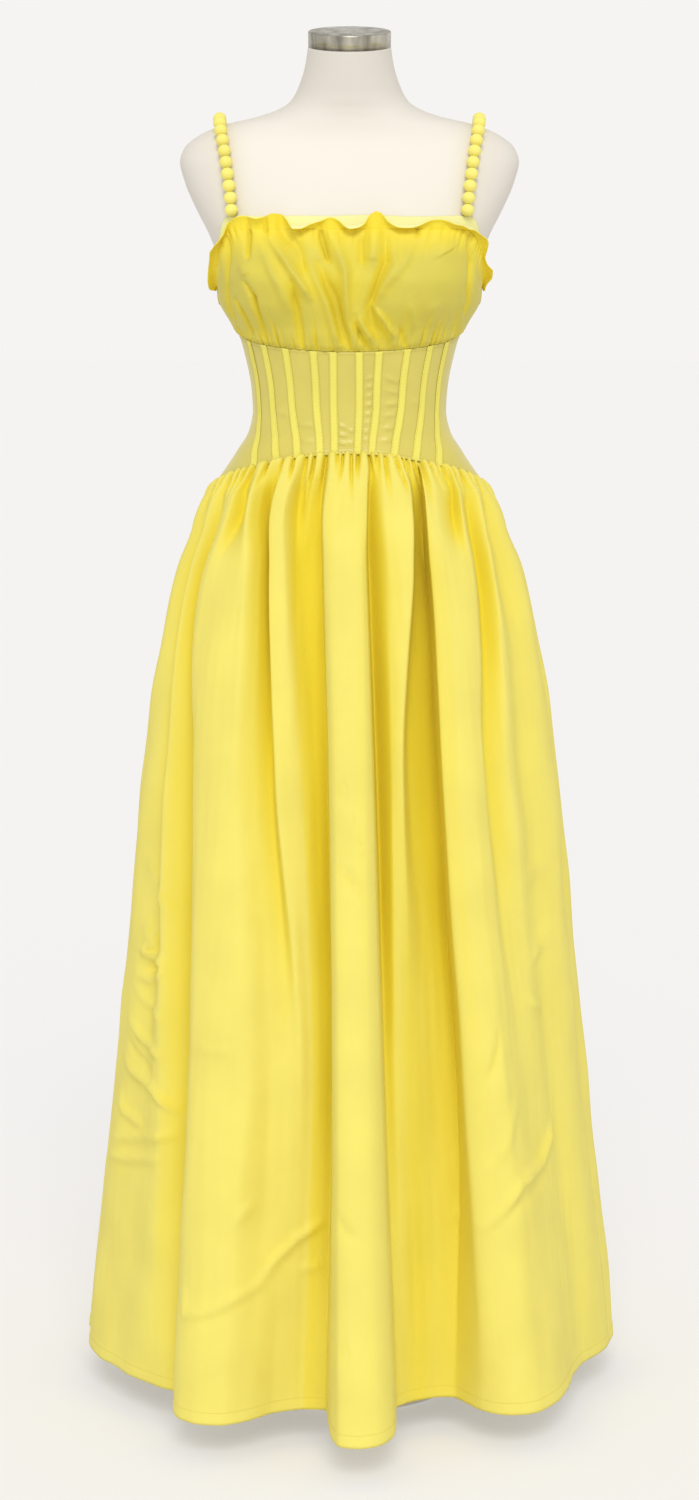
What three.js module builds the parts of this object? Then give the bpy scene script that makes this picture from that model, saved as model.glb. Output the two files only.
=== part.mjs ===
// A maxi dress with a draped bust, a boned midriff, beaded straps and a gathered skirt,
// on a limbless dress form with a metal neck cap, a pole and a round foot.
// Millimetres, +Z up, the front faces -Y, the origin is the middle of the foot's underside.
// "Around" is an angle in degrees: 0 at the centre front, 90 at the +X side, 180 at the back.

import * as THREE from 'three';

// ---- driving dimensions ----
const CLOTH = 1.5;            // thickness of a cloth wall
const TAPE = 1.2;             // thickness of a boning casing and of the inner top band
const GAP = 0.3;              // clearance between pieces that meet
const SIDE = 90;              // where the side seams run
const HEM = 41.5;             // height of the hem
const WAIST = { front: 1120, side: 1073, back: 1100 };      // the skirt seam's heights
const UNDERBUST = { front: 1234, side: 1257, back: 1250 };  // the underbust seam's heights
const BOTTOM = 840;           // the form's flat underside
const NECK_TOP = 1580;        // the form's neck, before it leans
const NECK_LEAN = 11.3;       // degrees that the neck's top leans forward
const NECK_START = 1508;      // where the lean begins
const CAP = { radius: 47.5, height: 17, bevel: 1.2 };
const FOOT = { radius: 130, height: 12, edge: 4, collarRadius: 24, collarHeight: 26 };
const POLE_RADIUS = 12.5;
const BEAD = { diameter: 15.2, pitch: 14, neck: 3.6, sides: 6, fullness: 0.98, lift: -0.15 };
const TAPE_WIDTH = 9;         // width of a boning casing
const FRONT_TURN = -1.8;      // degrees that the bodice's middle is turned to one side

// ---- tables ----
// The form, a row for each section: half width, depth before and behind the middle,
// how far the bust stands out, and how blunt the section is (2 is an ellipse).
const FORM = [
  { z: 840, half: 151, front: 92, back: 118, bust: 0, blunt: 2.3 },
  { z: 850, half: 160, front: 95, back: 121, bust: 0, blunt: 2.3 },
  { z: 900, half: 168, front: 98, back: 122, bust: 0, blunt: 2.3 },
  { z: 960, half: 167, front: 98, back: 122, bust: 0, blunt: 2.3 },
  { z: 1020, half: 160, front: 98, back: 118, bust: 0, blunt: 2.3 },
  { z: 1073, half: 148, front: 95, back: 105, bust: 0, blunt: 2.3 },
  { z: 1117, half: 127, front: 90, back: 90, bust: 0, blunt: 2.3 },
  { z: 1142, half: 113, front: 87, back: 82, bust: 0, blunt: 2.3 },
  { z: 1165, half: 108.5, front: 86, back: 79, bust: 0, blunt: 2.3 },
  { z: 1190, half: 110, front: 88, back: 80, bust: 0, blunt: 2.3 },
  { z: 1232, half: 118, front: 94, back: 86, bust: 0, blunt: 2.3 },
  { z: 1257, half: 125, front: 99, back: 90, bust: 4, blunt: 2.3 },
  { z: 1290, half: 140, front: 100, back: 95, bust: 20, blunt: 2.3 },
  { z: 1310, half: 144, front: 100, back: 98, bust: 24, blunt: 2.3 },
  { z: 1335, half: 150, front: 96, back: 99, bust: 17, blunt: 2.3 },
  { z: 1365, half: 161, front: 88, back: 98, bust: 8, blunt: 2.4 },
  { z: 1395, half: 176, front: 79, back: 95, bust: 2, blunt: 2.5 },
  { z: 1425, half: 189, front: 70, back: 88, bust: 0, blunt: 2.6 },
  { z: 1450, half: 195, front: 60, back: 78, bust: 0, blunt: 2.7 },
  { z: 1465, half: 190, front: 54, back: 70, bust: 0, blunt: 2.6 },
  { z: 1480, half: 172, front: 50, back: 65, bust: 0, blunt: 2.4 },
  { z: 1492, half: 143, front: 48, back: 62, bust: 0, blunt: 2.2 },
  { z: 1500, half: 108, front: 47, back: 60, bust: 0, blunt: 2.1 },
  { z: 1508, half: 84, front: 47, back: 58, bust: 0, blunt: 2 },
  { z: 1518, half: 68, front: 48, back: 55, bust: 0, blunt: 2 },
  { z: 1536, half: 58, front: 48, back: 50, bust: 0, blunt: 2 },
  { z: 1558, half: 51, front: 48, back: 47, bust: 0, blunt: 2 },
  { z: 1580, half: 47.5, front: 47.5, back: 47.5, bust: 0, blunt: 2 },
];
const BUST_AROUND = 38;       // where each side of the bust stands out most
const BUST_SPREAD = { form: 20, dress: 30 };  // how wide it spreads, under cloth and in cloth

// How far the bodice stands off the form at each height.
const EASE = [
  { z: 1040, out: 20 },
  { z: 1073, out: 14 },
  { z: 1090, out: 9 },
  { z: 1117, out: 5 },
  { z: 1142, out: 4 },
  { z: 1212, out: 3.8 },
  { z: 1257, out: 4.5 },
  { z: 1290, out: 7 },
  { z: 1335, out: 9 },
  { z: 1372, out: 8.5 },
  { z: 1400, out: 8.5 },
];

// The skirt without its folds, a row for each section.
const SKIRT = [
  { z: 1120, half: 131, front: 98, back: 94 },
  { z: 1090, half: 151.5, front: 112, back: 118 },
  { z: 1073, half: 163, front: 120, back: 130 },
  { z: 1037, half: 179, front: 135, back: 145 },
  { z: 991, half: 196, front: 150, back: 158 },
  { z: 944, half: 208, front: 163, back: 170 },
  { z: 885, half: 219.5, front: 176, back: 184 },
  { z: 825, half: 230.3, front: 187, back: 197 },
  { z: 706, half: 246, front: 205, back: 216 },
  { z: 586, half: 258, front: 220, back: 232 },
  { z: 465, half: 271, front: 234, back: 246 },
  { z: 342, half: 284, front: 246, back: 260 },
  { z: 219, half: 298, front: 256, back: 272 },
  { z: 94, half: 311.4, front: 266, back: 284 },
  { z: 41.5, half: 315, front: 270, back: 288 },
];

// The skirt's folds, a row for each ridge and each hollow between two ridges.
// FOLD_LEVELS are parts of the way down from the waist seam; "around" and "out" are taken there.
const FOLD_LEVELS = [0.05, 0.11, 0.33, 0.66, 1];
const FRONT_FOLDS = [
  { fold: 'seam at -X', around: [-90, -90, -90, -90, -90], out: [0, 0, 0, 0, 0] },
  { fold: 'side ridge', around: [-79, -79, -77, -75, -78], out: [3, 4, 4, -2, -9] },
  { fold: 'side crease', around: [-71, -70, -63, -62, -68], out: [-2, -4, -5, -9, -18] },
  { fold: 'narrow ridge', around: [-64, -65, -57, -54, -58], out: [3, 2, 1, -9, -22] },
  { fold: 'side hollow', around: [-58, -59, -50, -45, -48], out: [-2, -6, -9, -14, -20] },
  { fold: 'broad ridge edge', around: [-53, -55, -45, -40.5, -39], out: [4, 6, 11, 14, 18] },
  { fold: 'broad ridge shoulder', around: [-49.5, -51, -41, -36, -32], out: [5, 11, 18, 28, 49] },
  { fold: 'broad ridge top', around: [-45, -46, -36, -31, -28], out: [-3, 13, 20, 32, 56] },
  { fold: 'broad ridge far side', around: [-40.5, -40, -30.5, -25, -23.8], out: [6, 12, 16, 25, 51] },
  { fold: 'hollow brow', around: [-36.6, -33.5, -26.5, -19, -20.2], out: [-2, -4, 3, 9, 30] },
  { fold: 'deep hollow', around: [-33, -30, -23, -14.5, -16.5], out: [-10, -15, -4, -6, -4] },
  { fold: 'second ridge edge', around: [-30.5, -27, -19.5, -11.8, -13], out: [4, 4, 1, -12, -21] },
  { fold: 'second ridge', around: [-25, -22, -15.5, -9.8, -11], out: [6, 4, -1, -17, -27] },
  { fold: 'slanting hollow', around: [-21, -18.5, -12, -8, -9], out: [-7, -6, -8, -21, -28.5] },
  { fold: 'short ridge', around: [-15.5, -13.5, -9.3, -6.5, -7.3], out: [4, -9, -14, -25, -29] },
  { fold: 'hollow before centre', around: [-10.8, -10, -7, -5, -5.6], out: [-5, -15, -20, -27, -27] },
  { fold: 'centre fold edge', around: [-8.6, -8.2, -5.5, -3.7, -3.2], out: [7, 13, 23, 36, 68] },
  { fold: 'centre fold left', around: [-5, -4.8, -3.2, -2, -1.4], out: [9, 20, 36, 56, 93] },
  { fold: 'centre fold top', around: [-1.4, -1, 0, 0.8, 1.2], out: [8, 21, 38, 60, 98.5] },
  { fold: 'centre fold right', around: [2.6, 2.8, 3, 3.6, 4.2], out: [9, 21, 37, 57, 93] },
  { fold: 'centre fold far edge', around: [6.3, 6.3, 5.4, 5.8, 6.6], out: [6, 13, 25, 38, 64] },
  { fold: 'hollow past centre', around: [8.6, 8.6, 8.2, 9, 10.4], out: [-7, -12, -15, -26, -32] },
  { fold: 'pleated ridge', around: [13, 14, 13.3, 12.5, 13], out: [6, 9, 5, -28, -42] },
  { fold: 'pleated ridge edge', around: [21.8, 20.6, 16.8, 15.8, 16.2], out: [6, 11, 8, -33, -52] },
  { fold: 'hollow shoulder', around: [24.8, 23, 18.8, 19.5, 20], out: [-4, -9, -22, -38, -55] },
  { fold: 'deepest hollow', around: [27.4, 26.3, 22.3, 23.5, 24.6], out: [-13, -26, -34, -39, -44] },
  { fold: 'right ridge edge', around: [29.6, 28.2, 25, 27.2, 28.2], out: [4, 9, 13, 8, 6] },
  { fold: 'right ridge shoulder', around: [34, 32, 28.3, 30.8, 31.6], out: [8, 17, 21, 24, 32] },
  { fold: 'right ridge top', around: [40.5, 38, 32, 35, 36.6], out: [-3, 15, 23, 29, 40.5] },
  { fold: 'right ridge far side', around: [45.5, 43, 36.5, 39, 43], out: [6, 13, 18, 21, 29] },
  { fold: 'right side hollow', around: [50, 48.5, 41.5, 45, 51], out: [-4, -8, -9, -8, 8] },
  { fold: 'right side ridge', around: [56.5, 54.5, 49, 53, 62], out: [5, 5, 3, -6, -20] },
  { fold: 'right side crease', around: [64, 63, 59, 62, 70], out: [-3, -3, -4, -12, -24] },
  { fold: 'far right ridge', around: [74, 75, 73, 75, 79], out: [3, 5, 4, -4, -14] },
  { fold: 'seam at +X', around: [90, 90, 90, 90, 90], out: [-2, -3, -5, -5, -1] },
];
const BACK_FOLDS = [
  { fold: 'seam at +X', around: [90, 90, 90, 90, 90], out: [-2, -3, -5, -5, -1] },
  { fold: 'first ridge', around: [98, 98, 99, 100, 101], out: [4, 7, 9, 10, 12] },
  { fold: 'first hollow', around: [104, 104, 107, 109, 111], out: [-4, -7, -10, -14, -20] },
  { fold: 'thin ridge', around: [110, 110, 113, 115, 117], out: [4, 2, -2, -8, -14] },
  { fold: 'second ridge edge', around: [115, 116, 119, 121, 123], out: [3, 6, 10, 12, 14] },
  { fold: 'second ridge', around: [121, 122, 125, 127, 129], out: [6, 12, 19, 30, 44] },
  { fold: 'second ridge far side', around: [127, 128, 130.5, 133, 135], out: [5, 8, 12, 18, 28] },
  { fold: 'second hollow', around: [132, 133, 136, 138.5, 141], out: [-8, -13, -15, -22, -32] },
  { fold: 'tucked ridge', around: [137.5, 138.5, 141.5, 144, 146.5], out: [5, 2, -5, -18, -36] },
  { fold: 'tucked hollow', around: [143, 144, 146.5, 148.5, 151], out: [-5, -9, -14, -24, -34] },
  { fold: 'third ridge edge', around: [148, 149, 150.5, 152, 154], out: [5, 8, 14, 20, 30] },
  { fold: 'third ridge', around: [153.5, 154.5, 155.5, 156.5, 158], out: [7, 16, 27, 42, 62] },
  { fold: 'third ridge far side', around: [159, 160, 160, 161, 162], out: [5, 9, 15, 26, 40] },
  { fold: 'hollow before back', around: [164.5, 165, 165.5, 166, 167], out: [-8, -14, -18, -27, -38] },
  { fold: 'back pleat', around: [170, 170.5, 171, 172, 173], out: [6, 4, -4, -16, -32] },
  { fold: 'back seam hollow', around: [178, 178, 178, 178, 179], out: [-4, -8, -12, -20, -30] },
  { fold: 'fourth ridge edge', around: [184, 183.5, 182.5, 183, 183], out: [5, 8, 14, 20, 30] },
  { fold: 'fourth ridge', around: [189, 188.5, 187.5, 188, 188.5], out: [7, 15, 25, 40, 56] },
  { fold: 'fourth ridge far side', around: [194.5, 194, 193, 193.5, 194], out: [5, 9, 13, 20, 32] },
  { fold: 'fourth hollow', around: [200, 199.5, 199, 200, 201], out: [-7, -12, -17, -26, -38] },
  { fold: 'soft ridge', around: [206, 205.5, 206, 208, 210], out: [5, 4, -2, -14, -28] },
  { fold: 'fifth hollow', around: [212, 211.5, 213, 215, 217], out: [-6, -10, -13, -20, -26] },
  { fold: 'fifth ridge edge', around: [217.5, 217.5, 218.5, 220, 221.5], out: [4, 7, 12, 16, 20] },
  { fold: 'fifth ridge', around: [223.5, 223.5, 224.5, 226, 227.5], out: [7, 13, 21, 34, 50] },
  { fold: 'fifth ridge far side', around: [229.5, 229.5, 231, 233, 235], out: [5, 9, 13, 18, 26] },
  { fold: 'sixth hollow', around: [236, 236, 238, 240, 242], out: [-7, -11, -14, -20, -28] },
  { fold: 'sixth ridge edge', around: [242, 242, 244, 247, 249], out: [4, 3, 0, -4, -10] },
  { fold: 'sixth ridge', around: [249, 249, 251, 254, 256], out: [5, 8, 10, 12, 14] },
  { fold: 'last hollow', around: [257, 257, 258, 261, 263], out: [-4, -5, -6, -6, -7] },
  { fold: 'seam at -X', around: [270, 270, 270, 270, 270], out: [0, 0, 0, 0, 0] },
];
const SKIRT_ROWS = [0, 0.012, 0.03, 0.06, 0.105, 0.17, 0.28, 0.42, 0.6, 0.8, 1];

// The gathers: how far each one stands out and in at parts of the way down the skirt.
const GATHERS = [
  { down: 0, deep: 1.6 },
  { down: 0.012, deep: 3 },
  { down: 0.03, deep: 3.4 },
  { down: 0.06, deep: 2.4 },
  { down: 0.11, deep: 1 },
  { down: 0.17, deep: 0 },
  { down: 1, deep: 0 },
];

// The neckline's stitching, the frill's height above it and how far the frill turns outward.
const NECKLINE = [
  { around: 0, z: 1372, frill: 15, turn: 0.22 },
  { around: 40, z: 1372, frill: 15, turn: 0.25 },
  { around: 49, z: 1370, frill: 15, turn: 0.3 },
  { around: 55, z: 1361, frill: 11, turn: 0.5 },
  { around: 62, z: 1347, frill: 11, turn: 0.85 },
  { around: 74, z: 1324, frill: 12, turn: 0.95 },
  { around: 90, z: 1305, frill: 13, turn: 0.95 },
  { around: 110, z: 1302, frill: 15, turn: 0.8 },
  { around: 145, z: 1302, frill: 15, turn: 0.65 },
  { around: 180, z: 1302, frill: 15, turn: 0.4 },
];
const FRILL = { waves: 15, backWaves: 12, deep: 3.6, rise: 3.5, stepsPerWave: 4 };
const BAND = { above: 15, below: 12, off: 1.1 };

// The bust's drape, a row for each fold: where it starts and ends (around, and as a part of
// the way down from the neckline to the underbust seam), how far it stands out, how wide it is.
const BUST_FOLDS = [
  { fold: 'left armhole', from: [-70, 0.15], to: [-66, 0.75], out: -5, wide: 6 },
  { fold: 'far left', from: [-60, 0.5], to: [-56, 0.95], out: -3.5, wide: 5 },
  { fold: 'left side', from: [-50, 0.35], to: [-46, 0.95], out: -4, wide: 5 },
  { fold: 'left ridge', from: [-33, 0], to: [-25, 0.5], out: 4, wide: 5 },
  { fold: 'left top', from: [-27, 0], to: [-18, 0.4], out: -4, wide: 5 },
  { fold: 'left low', from: [-24, 0.45], to: [-27, 1], out: -4, wide: 5 },
  { fold: 'centre left', from: [-13, 0], to: [-9, 0.35], out: -4, wide: 4 },
  { fold: 'centre hollow', from: [-11, 0.3], to: [-1, 1], out: -6, wide: 6 },
  { fold: 'centre ridge', from: [-3, 0.4], to: [3, 1], out: 5, wide: 4 },
  { fold: 'upper pleat', from: [8, 0], to: [8, 0.35], out: 4, wide: 5 },
  { fold: 'right hollow', from: [13, 0.3], to: [19, 1], out: -6, wide: 5 },
  { fold: 'right low ridge', from: [17, 0.6], to: [26, 1], out: 4, wide: 4 },
  { fold: 'right low', from: [27, 0.75], to: [33, 1], out: -3, wide: 4 },
  { fold: 'right armhole', from: [64, 0], to: [66, 0.5], out: -5, wide: 6 },
];
const BUST = {
  frontColumns: 52, backColumns: 36, rows: 8, backRows: 5, gather: 1.1, backGather: 0.8, clear: 2.4,
};

// The boning casings, a row for each pair: degrees from the middle at the top, halfway, bottom.
const FRONT_BONES = [
  { top: 7.1, middle: 7.6, bottom: 6 },
  { top: 17.7, middle: 17.6, bottom: 13 },
  { top: 33.2, middle: 32.6, bottom: 24 },
  { top: 47.3, middle: 46.8, bottom: 34.6 },
  { top: 61, middle: 61.5, bottom: 47 },
];
const BACK_BONES = [
  { top: 9, middle: 9, bottom: 7 },
  { top: 27, middle: 27, bottom: 22 },
  { top: 46, middle: 46, bottom: 38 },
  { top: 66, middle: 66, bottom: 57 },
];
const MIDRIFF_ROWS = 6;
const SIDE_PARTS = 5;          // columns between a side seam and the nearest casing

// The straps' middle line over the shoulder, a row for each place: half the distance between
// the two straps, at a turn seen from the side (-90 is straight ahead, 90 straight behind).
const STRAP = [
  { turn: -110, apart: 130 },
  { turn: -60, apart: 139 },
  { turn: -20, apart: 146 },
  { turn: 10, apart: 147 },
  { turn: 60, apart: 128 },
  { turn: 90, apart: 108 },
  { turn: 138, apart: 90 },
];
const STRAP_FEET = { front: 48, back: 145 };  // where around the neckline the straps start
const STRAP_PIVOT = { y: 10, z: 1415 };

const COLOURS = {
  skirt: 0xf6e56a, bust: 0xe8da6c, midriff: 0xe2d373, tape: 0xf4e66c, frill: 0xf8e250,
  band: 0xfefab0, beads: 0xfbf096, form: 0xf6f1e8, metal: 0xa8a491, stand: 0xd8d6d0,
};

// ---- interpolation ----
const clamp01 = (x) => Math.min(1, Math.max(0, x));
const ease01 = (x) => clamp01(x) * clamp01(x) * (3 - 2 * clamp01(x));
const rad = THREE.MathUtils.degToRad;

// A smooth curve through (xs, ys) that never overshoots; xs may rise or fall.
function curveAt(xs, ys, x) {
  const last = xs.length - 1;
  const up = xs[last] > xs[0] ? 1 : -1;
  if ((x - xs[0]) * up <= 0) return ys[0];
  if ((x - xs[last]) * up >= 0) return ys[last];
  let i = 0;
  while ((x - xs[i + 1]) * up > 0) i += 1;
  const width = xs[i + 1] - xs[i];
  const slope = (k) => (ys[k + 1] - ys[k]) / (xs[k + 1] - xs[k]);
  const tangent = (k) => {
    if (k === 0) return slope(0);
    if (k === last) return slope(last - 1);
    const before = slope(k - 1);
    const after = slope(k);
    return before * after <= 0 ? 0 : (2 * before * after) / (before + after);
  };
  const t = (x - xs[i]) / width;
  const rise = t * t * (3 - 2 * t);
  const leave = t * (1 - t) * (1 - t) * width * tangent(i);
  const arrive = t * t * (t - 1) * width * tangent(i + 1);
  return ys[i] * (1 - rise) + ys[i + 1] * rise + leave + arrive;
}

const lookUp = (table, by, column, at) =>
  curveAt(table.map((row) => row[by]), table.map((row) => row[column]), at);

// ---- the seams ----
const turnOf = (around) => Math.abs(((around + 180) % 360 + 360) % 360 - 180);
function seamHeight(heights, around) {
  const lean = Math.cos(rad(around));
  const middle = lean > 0 ? heights.front : heights.back;
  return heights.side + (middle - heights.side) * Math.abs(lean);
}
const waistAt = (around) => seamHeight(WAIST, around);
const underbustAt = (around) => seamHeight(UNDERBUST, around);
const neckline = (column, around) => lookUp(NECKLINE, 'around', column, turnOf(around));

// ---- sections ----
function ringPoint(around, half, front, back, blunt) {
  const s = Math.sin(rad(around));
  const c = Math.cos(rad(around));
  const reach = (Math.abs(s) ** blunt + Math.abs(c) ** blunt) ** (1 / blunt);
  return new THREE.Vector2((half * s) / reach, (-(c > 0 ? front : back) * c) / reach);
}

// How much of the bust's stand-out there is at a place around.
function bustShare(around, spread) {
  const folded = ((around + 180) % 360 + 360) % 360 - 180;
  const lobe = (middle) => Math.exp(-(((folded - middle) / spread) ** 2));
  return lobe(BUST_AROUND) + lobe(-BUST_AROUND);
}

// A point of the torso, its bust spread as the form's or the dress's.
function torsoPoint(around, z, spread) {
  const size = (column) => lookUp(FORM, 'z', column, z);
  const point = ringPoint(around, size('half'), size('front'), size('back'), size('blunt'));
  point.y -= size('bust') * bustShare(around, spread);
  return point;
}

// The outward direction, level, of the line that pointAt draws around the body.
function outwardAt(pointAt, around) {
  const step = 0.2;
  const along = pointAt(around + step).sub(pointAt(around - step));
  return new THREE.Vector2(along.y, -along.x).normalize();
}

// A point of the dress that stands off the form by its ease and by "more".
function bodicePoint(around, z, more = 0) {
  const pointAt = (at) => torsoPoint(at, z, BUST_SPREAD.dress);
  const off = lookUp(EASE, 'z', 'out', z) + more;
  return pointAt(around).addScaledVector(outwardAt(pointAt, around), off);
}

// ---- closed walls ----
// Makes a closed wall from a grid of outer points and a grid of inner points.
function wallGeometry(outer, inner) {
  const columns = outer.length;
  const rows = outer[0].length;
  const positions = [];
  for (const side of [outer, inner]) {
    for (const column of side) {
      for (const point of column) positions.push(point.x, point.y, point.z);
    }
  }
  const out = (i, j) => i * rows + j;
  const within = (i, j) => columns * rows + i * rows + j;
  const faces = [];
  const quad = (a, b, c, d) => faces.push(a, b, c, a, c, d);
  for (let i = 0; i < columns - 1; i += 1) {
    for (let j = 0; j < rows - 1; j += 1) {
      quad(out(i, j), out(i, j + 1), out(i + 1, j + 1), out(i + 1, j));
      quad(within(i, j), within(i + 1, j), within(i + 1, j + 1), within(i, j + 1));
    }
    quad(out(i, 0), out(i + 1, 0), within(i + 1, 0), within(i, 0));
    quad(out(i, rows - 1), within(i, rows - 1), within(i + 1, rows - 1), out(i + 1, rows - 1));
  }
  const end = columns - 1;
  for (let j = 0; j < rows - 1; j += 1) {
    quad(out(0, j), within(0, j), within(0, j + 1), out(0, j + 1));
    quad(out(end, j), out(end, j + 1), within(end, j + 1), within(end, j));
  }
  const geometry = new THREE.BufferGeometry();
  geometry.setAttribute('position', new THREE.Float32BufferAttribute(positions, 3));
  geometry.setIndex(faces);
  return geometry;
}

// A grid with a column for each i and a row for each j.
const grid = (columns, rows, pointAt) =>
  Array.from({ length: columns }, (_, i) => Array.from({ length: rows }, (__, j) => pointAt(i, j)));

const raise = (flat, z) => new THREE.Vector3(flat.x, flat.y, z);

// Makes a solid from rings of points, bottom to top, each ring running as "around" does.
function stackGeometry(rings) {
  const sides = rings[0].length;
  const positions = rings.flat().flatMap((point) => [point.x, point.y, point.z]);
  const faces = [];
  for (let j = 0; j < rings.length - 1; j += 1) {
    for (let i = 0; i < sides; i += 1) {
      const a = j * sides + i;
      const b = j * sides + ((i + 1) % sides);
      faces.push(a, b, b + sides, a, b + sides, a + sides);
    }
  }
  const close = (ring, flip) => {
    const middle = ring.reduce((sum, p) => sum.add(p), new THREE.Vector3()).divideScalar(sides);
    const centre = positions.length / 3;
    positions.push(middle.x, middle.y, middle.z);
    const start = flip ? 0 : (rings.length - 1) * sides;
    for (let i = 0; i < sides; i += 1) {
      const a = start + i;
      const b = start + ((i + 1) % sides);
      faces.push(...(flip ? [centre, b, a] : [centre, a, b]));
    }
  };
  close(rings[0], true);
  close(rings[rings.length - 1], false);
  const geometry = new THREE.BufferGeometry();
  geometry.setAttribute('position', new THREE.Float32BufferAttribute(positions, 3));
  geometry.setIndex(faces);
  return geometry;
}

// ---- meshes ----
const dress = new THREE.Group();
function add(name, geometry, colour, roughness = 0.6, metalness = 0) {
  geometry.computeVertexNormals();
  const material = new THREE.MeshStandardMaterial({ color: colour, roughness, metalness });
  const mesh = new THREE.Mesh(geometry, material);
  mesh.name = name;
  dress.add(mesh);
  return mesh;
}

// ---- the form, its cap, its pole and its foot ----
function leanedPoint(flat, z) {
  const share = ease01((z - NECK_START) / (NECK_TOP - NECK_START));
  return new THREE.Vector3(flat.x, flat.y, z + flat.y * Math.tan(rad(NECK_LEAN)) * share);
}

function buildForm() {
  const sides = 36;
  const heights = FORM.map((row) => row.z);
  const rings = heights.map((z) =>
    Array.from({ length: sides }, (_, i) =>
      leanedPoint(torsoPoint((i * 360) / sides, z, BUST_SPREAD.form), z)));
  add('dress_form', stackGeometry(rings), COLOURS.form, 0.5);
}

function buildCap() {
  const { radius, height, bevel } = CAP;
  const profile = [
    [0, 0], [radius, 0], [radius, height - bevel], [radius - bevel, height], [0, height],
  ].map(([r, z]) => new THREE.Vector2(r, z));
  const geometry = new THREE.LatheGeometry(profile, 48);
  geometry.rotateX(Math.PI / 2);
  const cap = add('neck_cap', geometry, COLOURS.metal, 0.3, 1);
  cap.rotation.x = rad(NECK_LEAN);
  cap.position.set(0, 0, NECK_TOP + GAP * 1.2);
}

function buildStand() {
  const { radius, height, edge, collarRadius, collarHeight } = FOOT;
  const top = height + collarHeight;
  const profile = [
    [0, 0], [radius, 0], [radius, height - edge], [radius - edge, height],
    [collarRadius, height], [collarRadius, top], [0, top],
  ].map(([r, z]) => new THREE.Vector2(r, z));
  const foot = new THREE.LatheGeometry(profile, 40);
  foot.rotateX(Math.PI / 2);
  add('stand_base', foot, COLOURS.stand, 0.35, 0.6);
  const length = BOTTOM - top - 2 * GAP;
  const pole = new THREE.CylinderGeometry(POLE_RADIUS, POLE_RADIUS, length, 24);
  pole.rotateX(Math.PI / 2);
  add('stand_pole', pole, COLOURS.stand, 0.3, 0.8).position.z = top + GAP + length / 2;
}

// ---- the skirt ----
// Where fold line "index" (which may lie between two rows) runs at a part of the way down.
function foldAt(folds, index, down) {
  const low = Math.min(Math.floor(index), folds.length - 2);
  const share = index - low;
  const at = (row, column) => {
    const levels = [0, ...FOLD_LEVELS];
    const even = folds[0].around[0] + ((SIDE * 2) * row) / (folds.length - 1);
    const first = column === 'out' ? 0 : (folds[row].around[0] + even) / 2;
    return curveAt(levels, [first, ...folds[row][column]], down);
  };
  const around = at(low, 'around') * (1 - share) + at(low + 1, 'around') * share;
  const stops = folds.map((_, row) => row);
  const near = stops.slice(Math.max(0, low - 2), low + 4);
  const out = curveAt(near, near.map((row) => at(row, 'out')), index);
  return { around, out };
}

// The skirt's smooth section at a place, without folds.
function skirtBase(around, down) {
  const z = waistAt(around) + (HEM - waistAt(around)) * down;
  const size = (column) => lookUp(SKIRT, 'z', column, z);
  const flared = ringPoint(around, size('half'), size('front'), size('back'), 2);
  const fitted = bodicePoint(around, Math.max(z, EASE[0].z));
  return { z, point: fitted.lerp(flared, ease01(down / 0.09)) };
}

function skirtPoint(folds, index, down) {
  const { around, out } = foldAt(folds, index, down);
  const { z, point } = skirtBase(around, down);
  const outward = outwardAt((at) => skirtBase(at, down).point, around);
  const gather = -Math.cos(2 * Math.PI * index) * lookUp(GATHERS, 'down', 'deep', down);
  const ends = index <= 0 || index >= folds.length - 1;
  point.addScaledVector(outward, out + (ends ? 0 : gather));
  return raise(point, z);
}

function buildSkirt(name, folds) {
  const last = folds.length - 1;
  const margin = 0.0012;
  const columns = 2 * last + 1;
  const indexAt = (i) => Math.min(last - margin, Math.max(margin, i / 2));
  const outer = grid(columns, SKIRT_ROWS.length, (i, j) => {
    const point = skirtPoint(folds, indexAt(i), SKIRT_ROWS[j]);
    if (j === 0) point.z -= GAP / 2;
    return point;
  });
  const inner = thicken(outer, CLOTH);
  parted(outer, inner);
  add(name, wallGeometry(outer, inner), COLOURS.skirt);
}

// Inner points of a wall: each outer point moved in, level, square to its row.
function thicken(outer, thickness) {
  const last = outer.length - 1;
  return grid(outer.length, outer[0].length, (i, j) => {
    const point = outer[i][j];
    const before = outer[Math.max(0, i - 1)][j];
    const after = outer[Math.min(last, i + 1)][j];
    const away = new THREE.Vector3(after.y - before.y, before.x - after.x, 0).normalize();
    const edge = i === 0 || i === last;
    if (edge) away.set(Math.sign(point.x), 0, 0);
    return point.clone().addScaledVector(away, -thickness);
  });
}

// Moves the two end columns of a front or back wall half the seam's gap off the side seam.
function parted(outer, inner) {
  for (const side of [outer, inner]) {
    for (const column of [side[0], side[side.length - 1]]) {
      const middle = side[Math.floor(side.length / 2)][0].y;
      for (const point of column) point.y = (Math.sign(middle) * GAP) / 2;
    }
  }
}

// ---- the midriff and its boning ----
// Where each casing runs: its middle, in degrees around, at a part of the way down.
function boneAround(bones, centre, index, down) {
  const pair = bones[Math.floor(index / 2)];
  const side = index % 2 === 0 ? -1 : 1;
  return centre + side * curveAt([0, 0.5, 1], [pair.top, pair.middle, pair.bottom], down);
}

const midriffHeight = (around, down) => {
  const top = underbustAt(around) - GAP / 2;
  const bottom = waistAt(around) + GAP / 2;
  return top + (bottom - top) * down;
};

// Half a casing's width in degrees around, where the section's outline is that wide.
function tapeHalf(around, z) {
  const step = bodicePoint(around + 1, z).distanceTo(bodicePoint(around - 1, z)) / 2;
  return TAPE_WIDTH / 2 / step;
}

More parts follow.
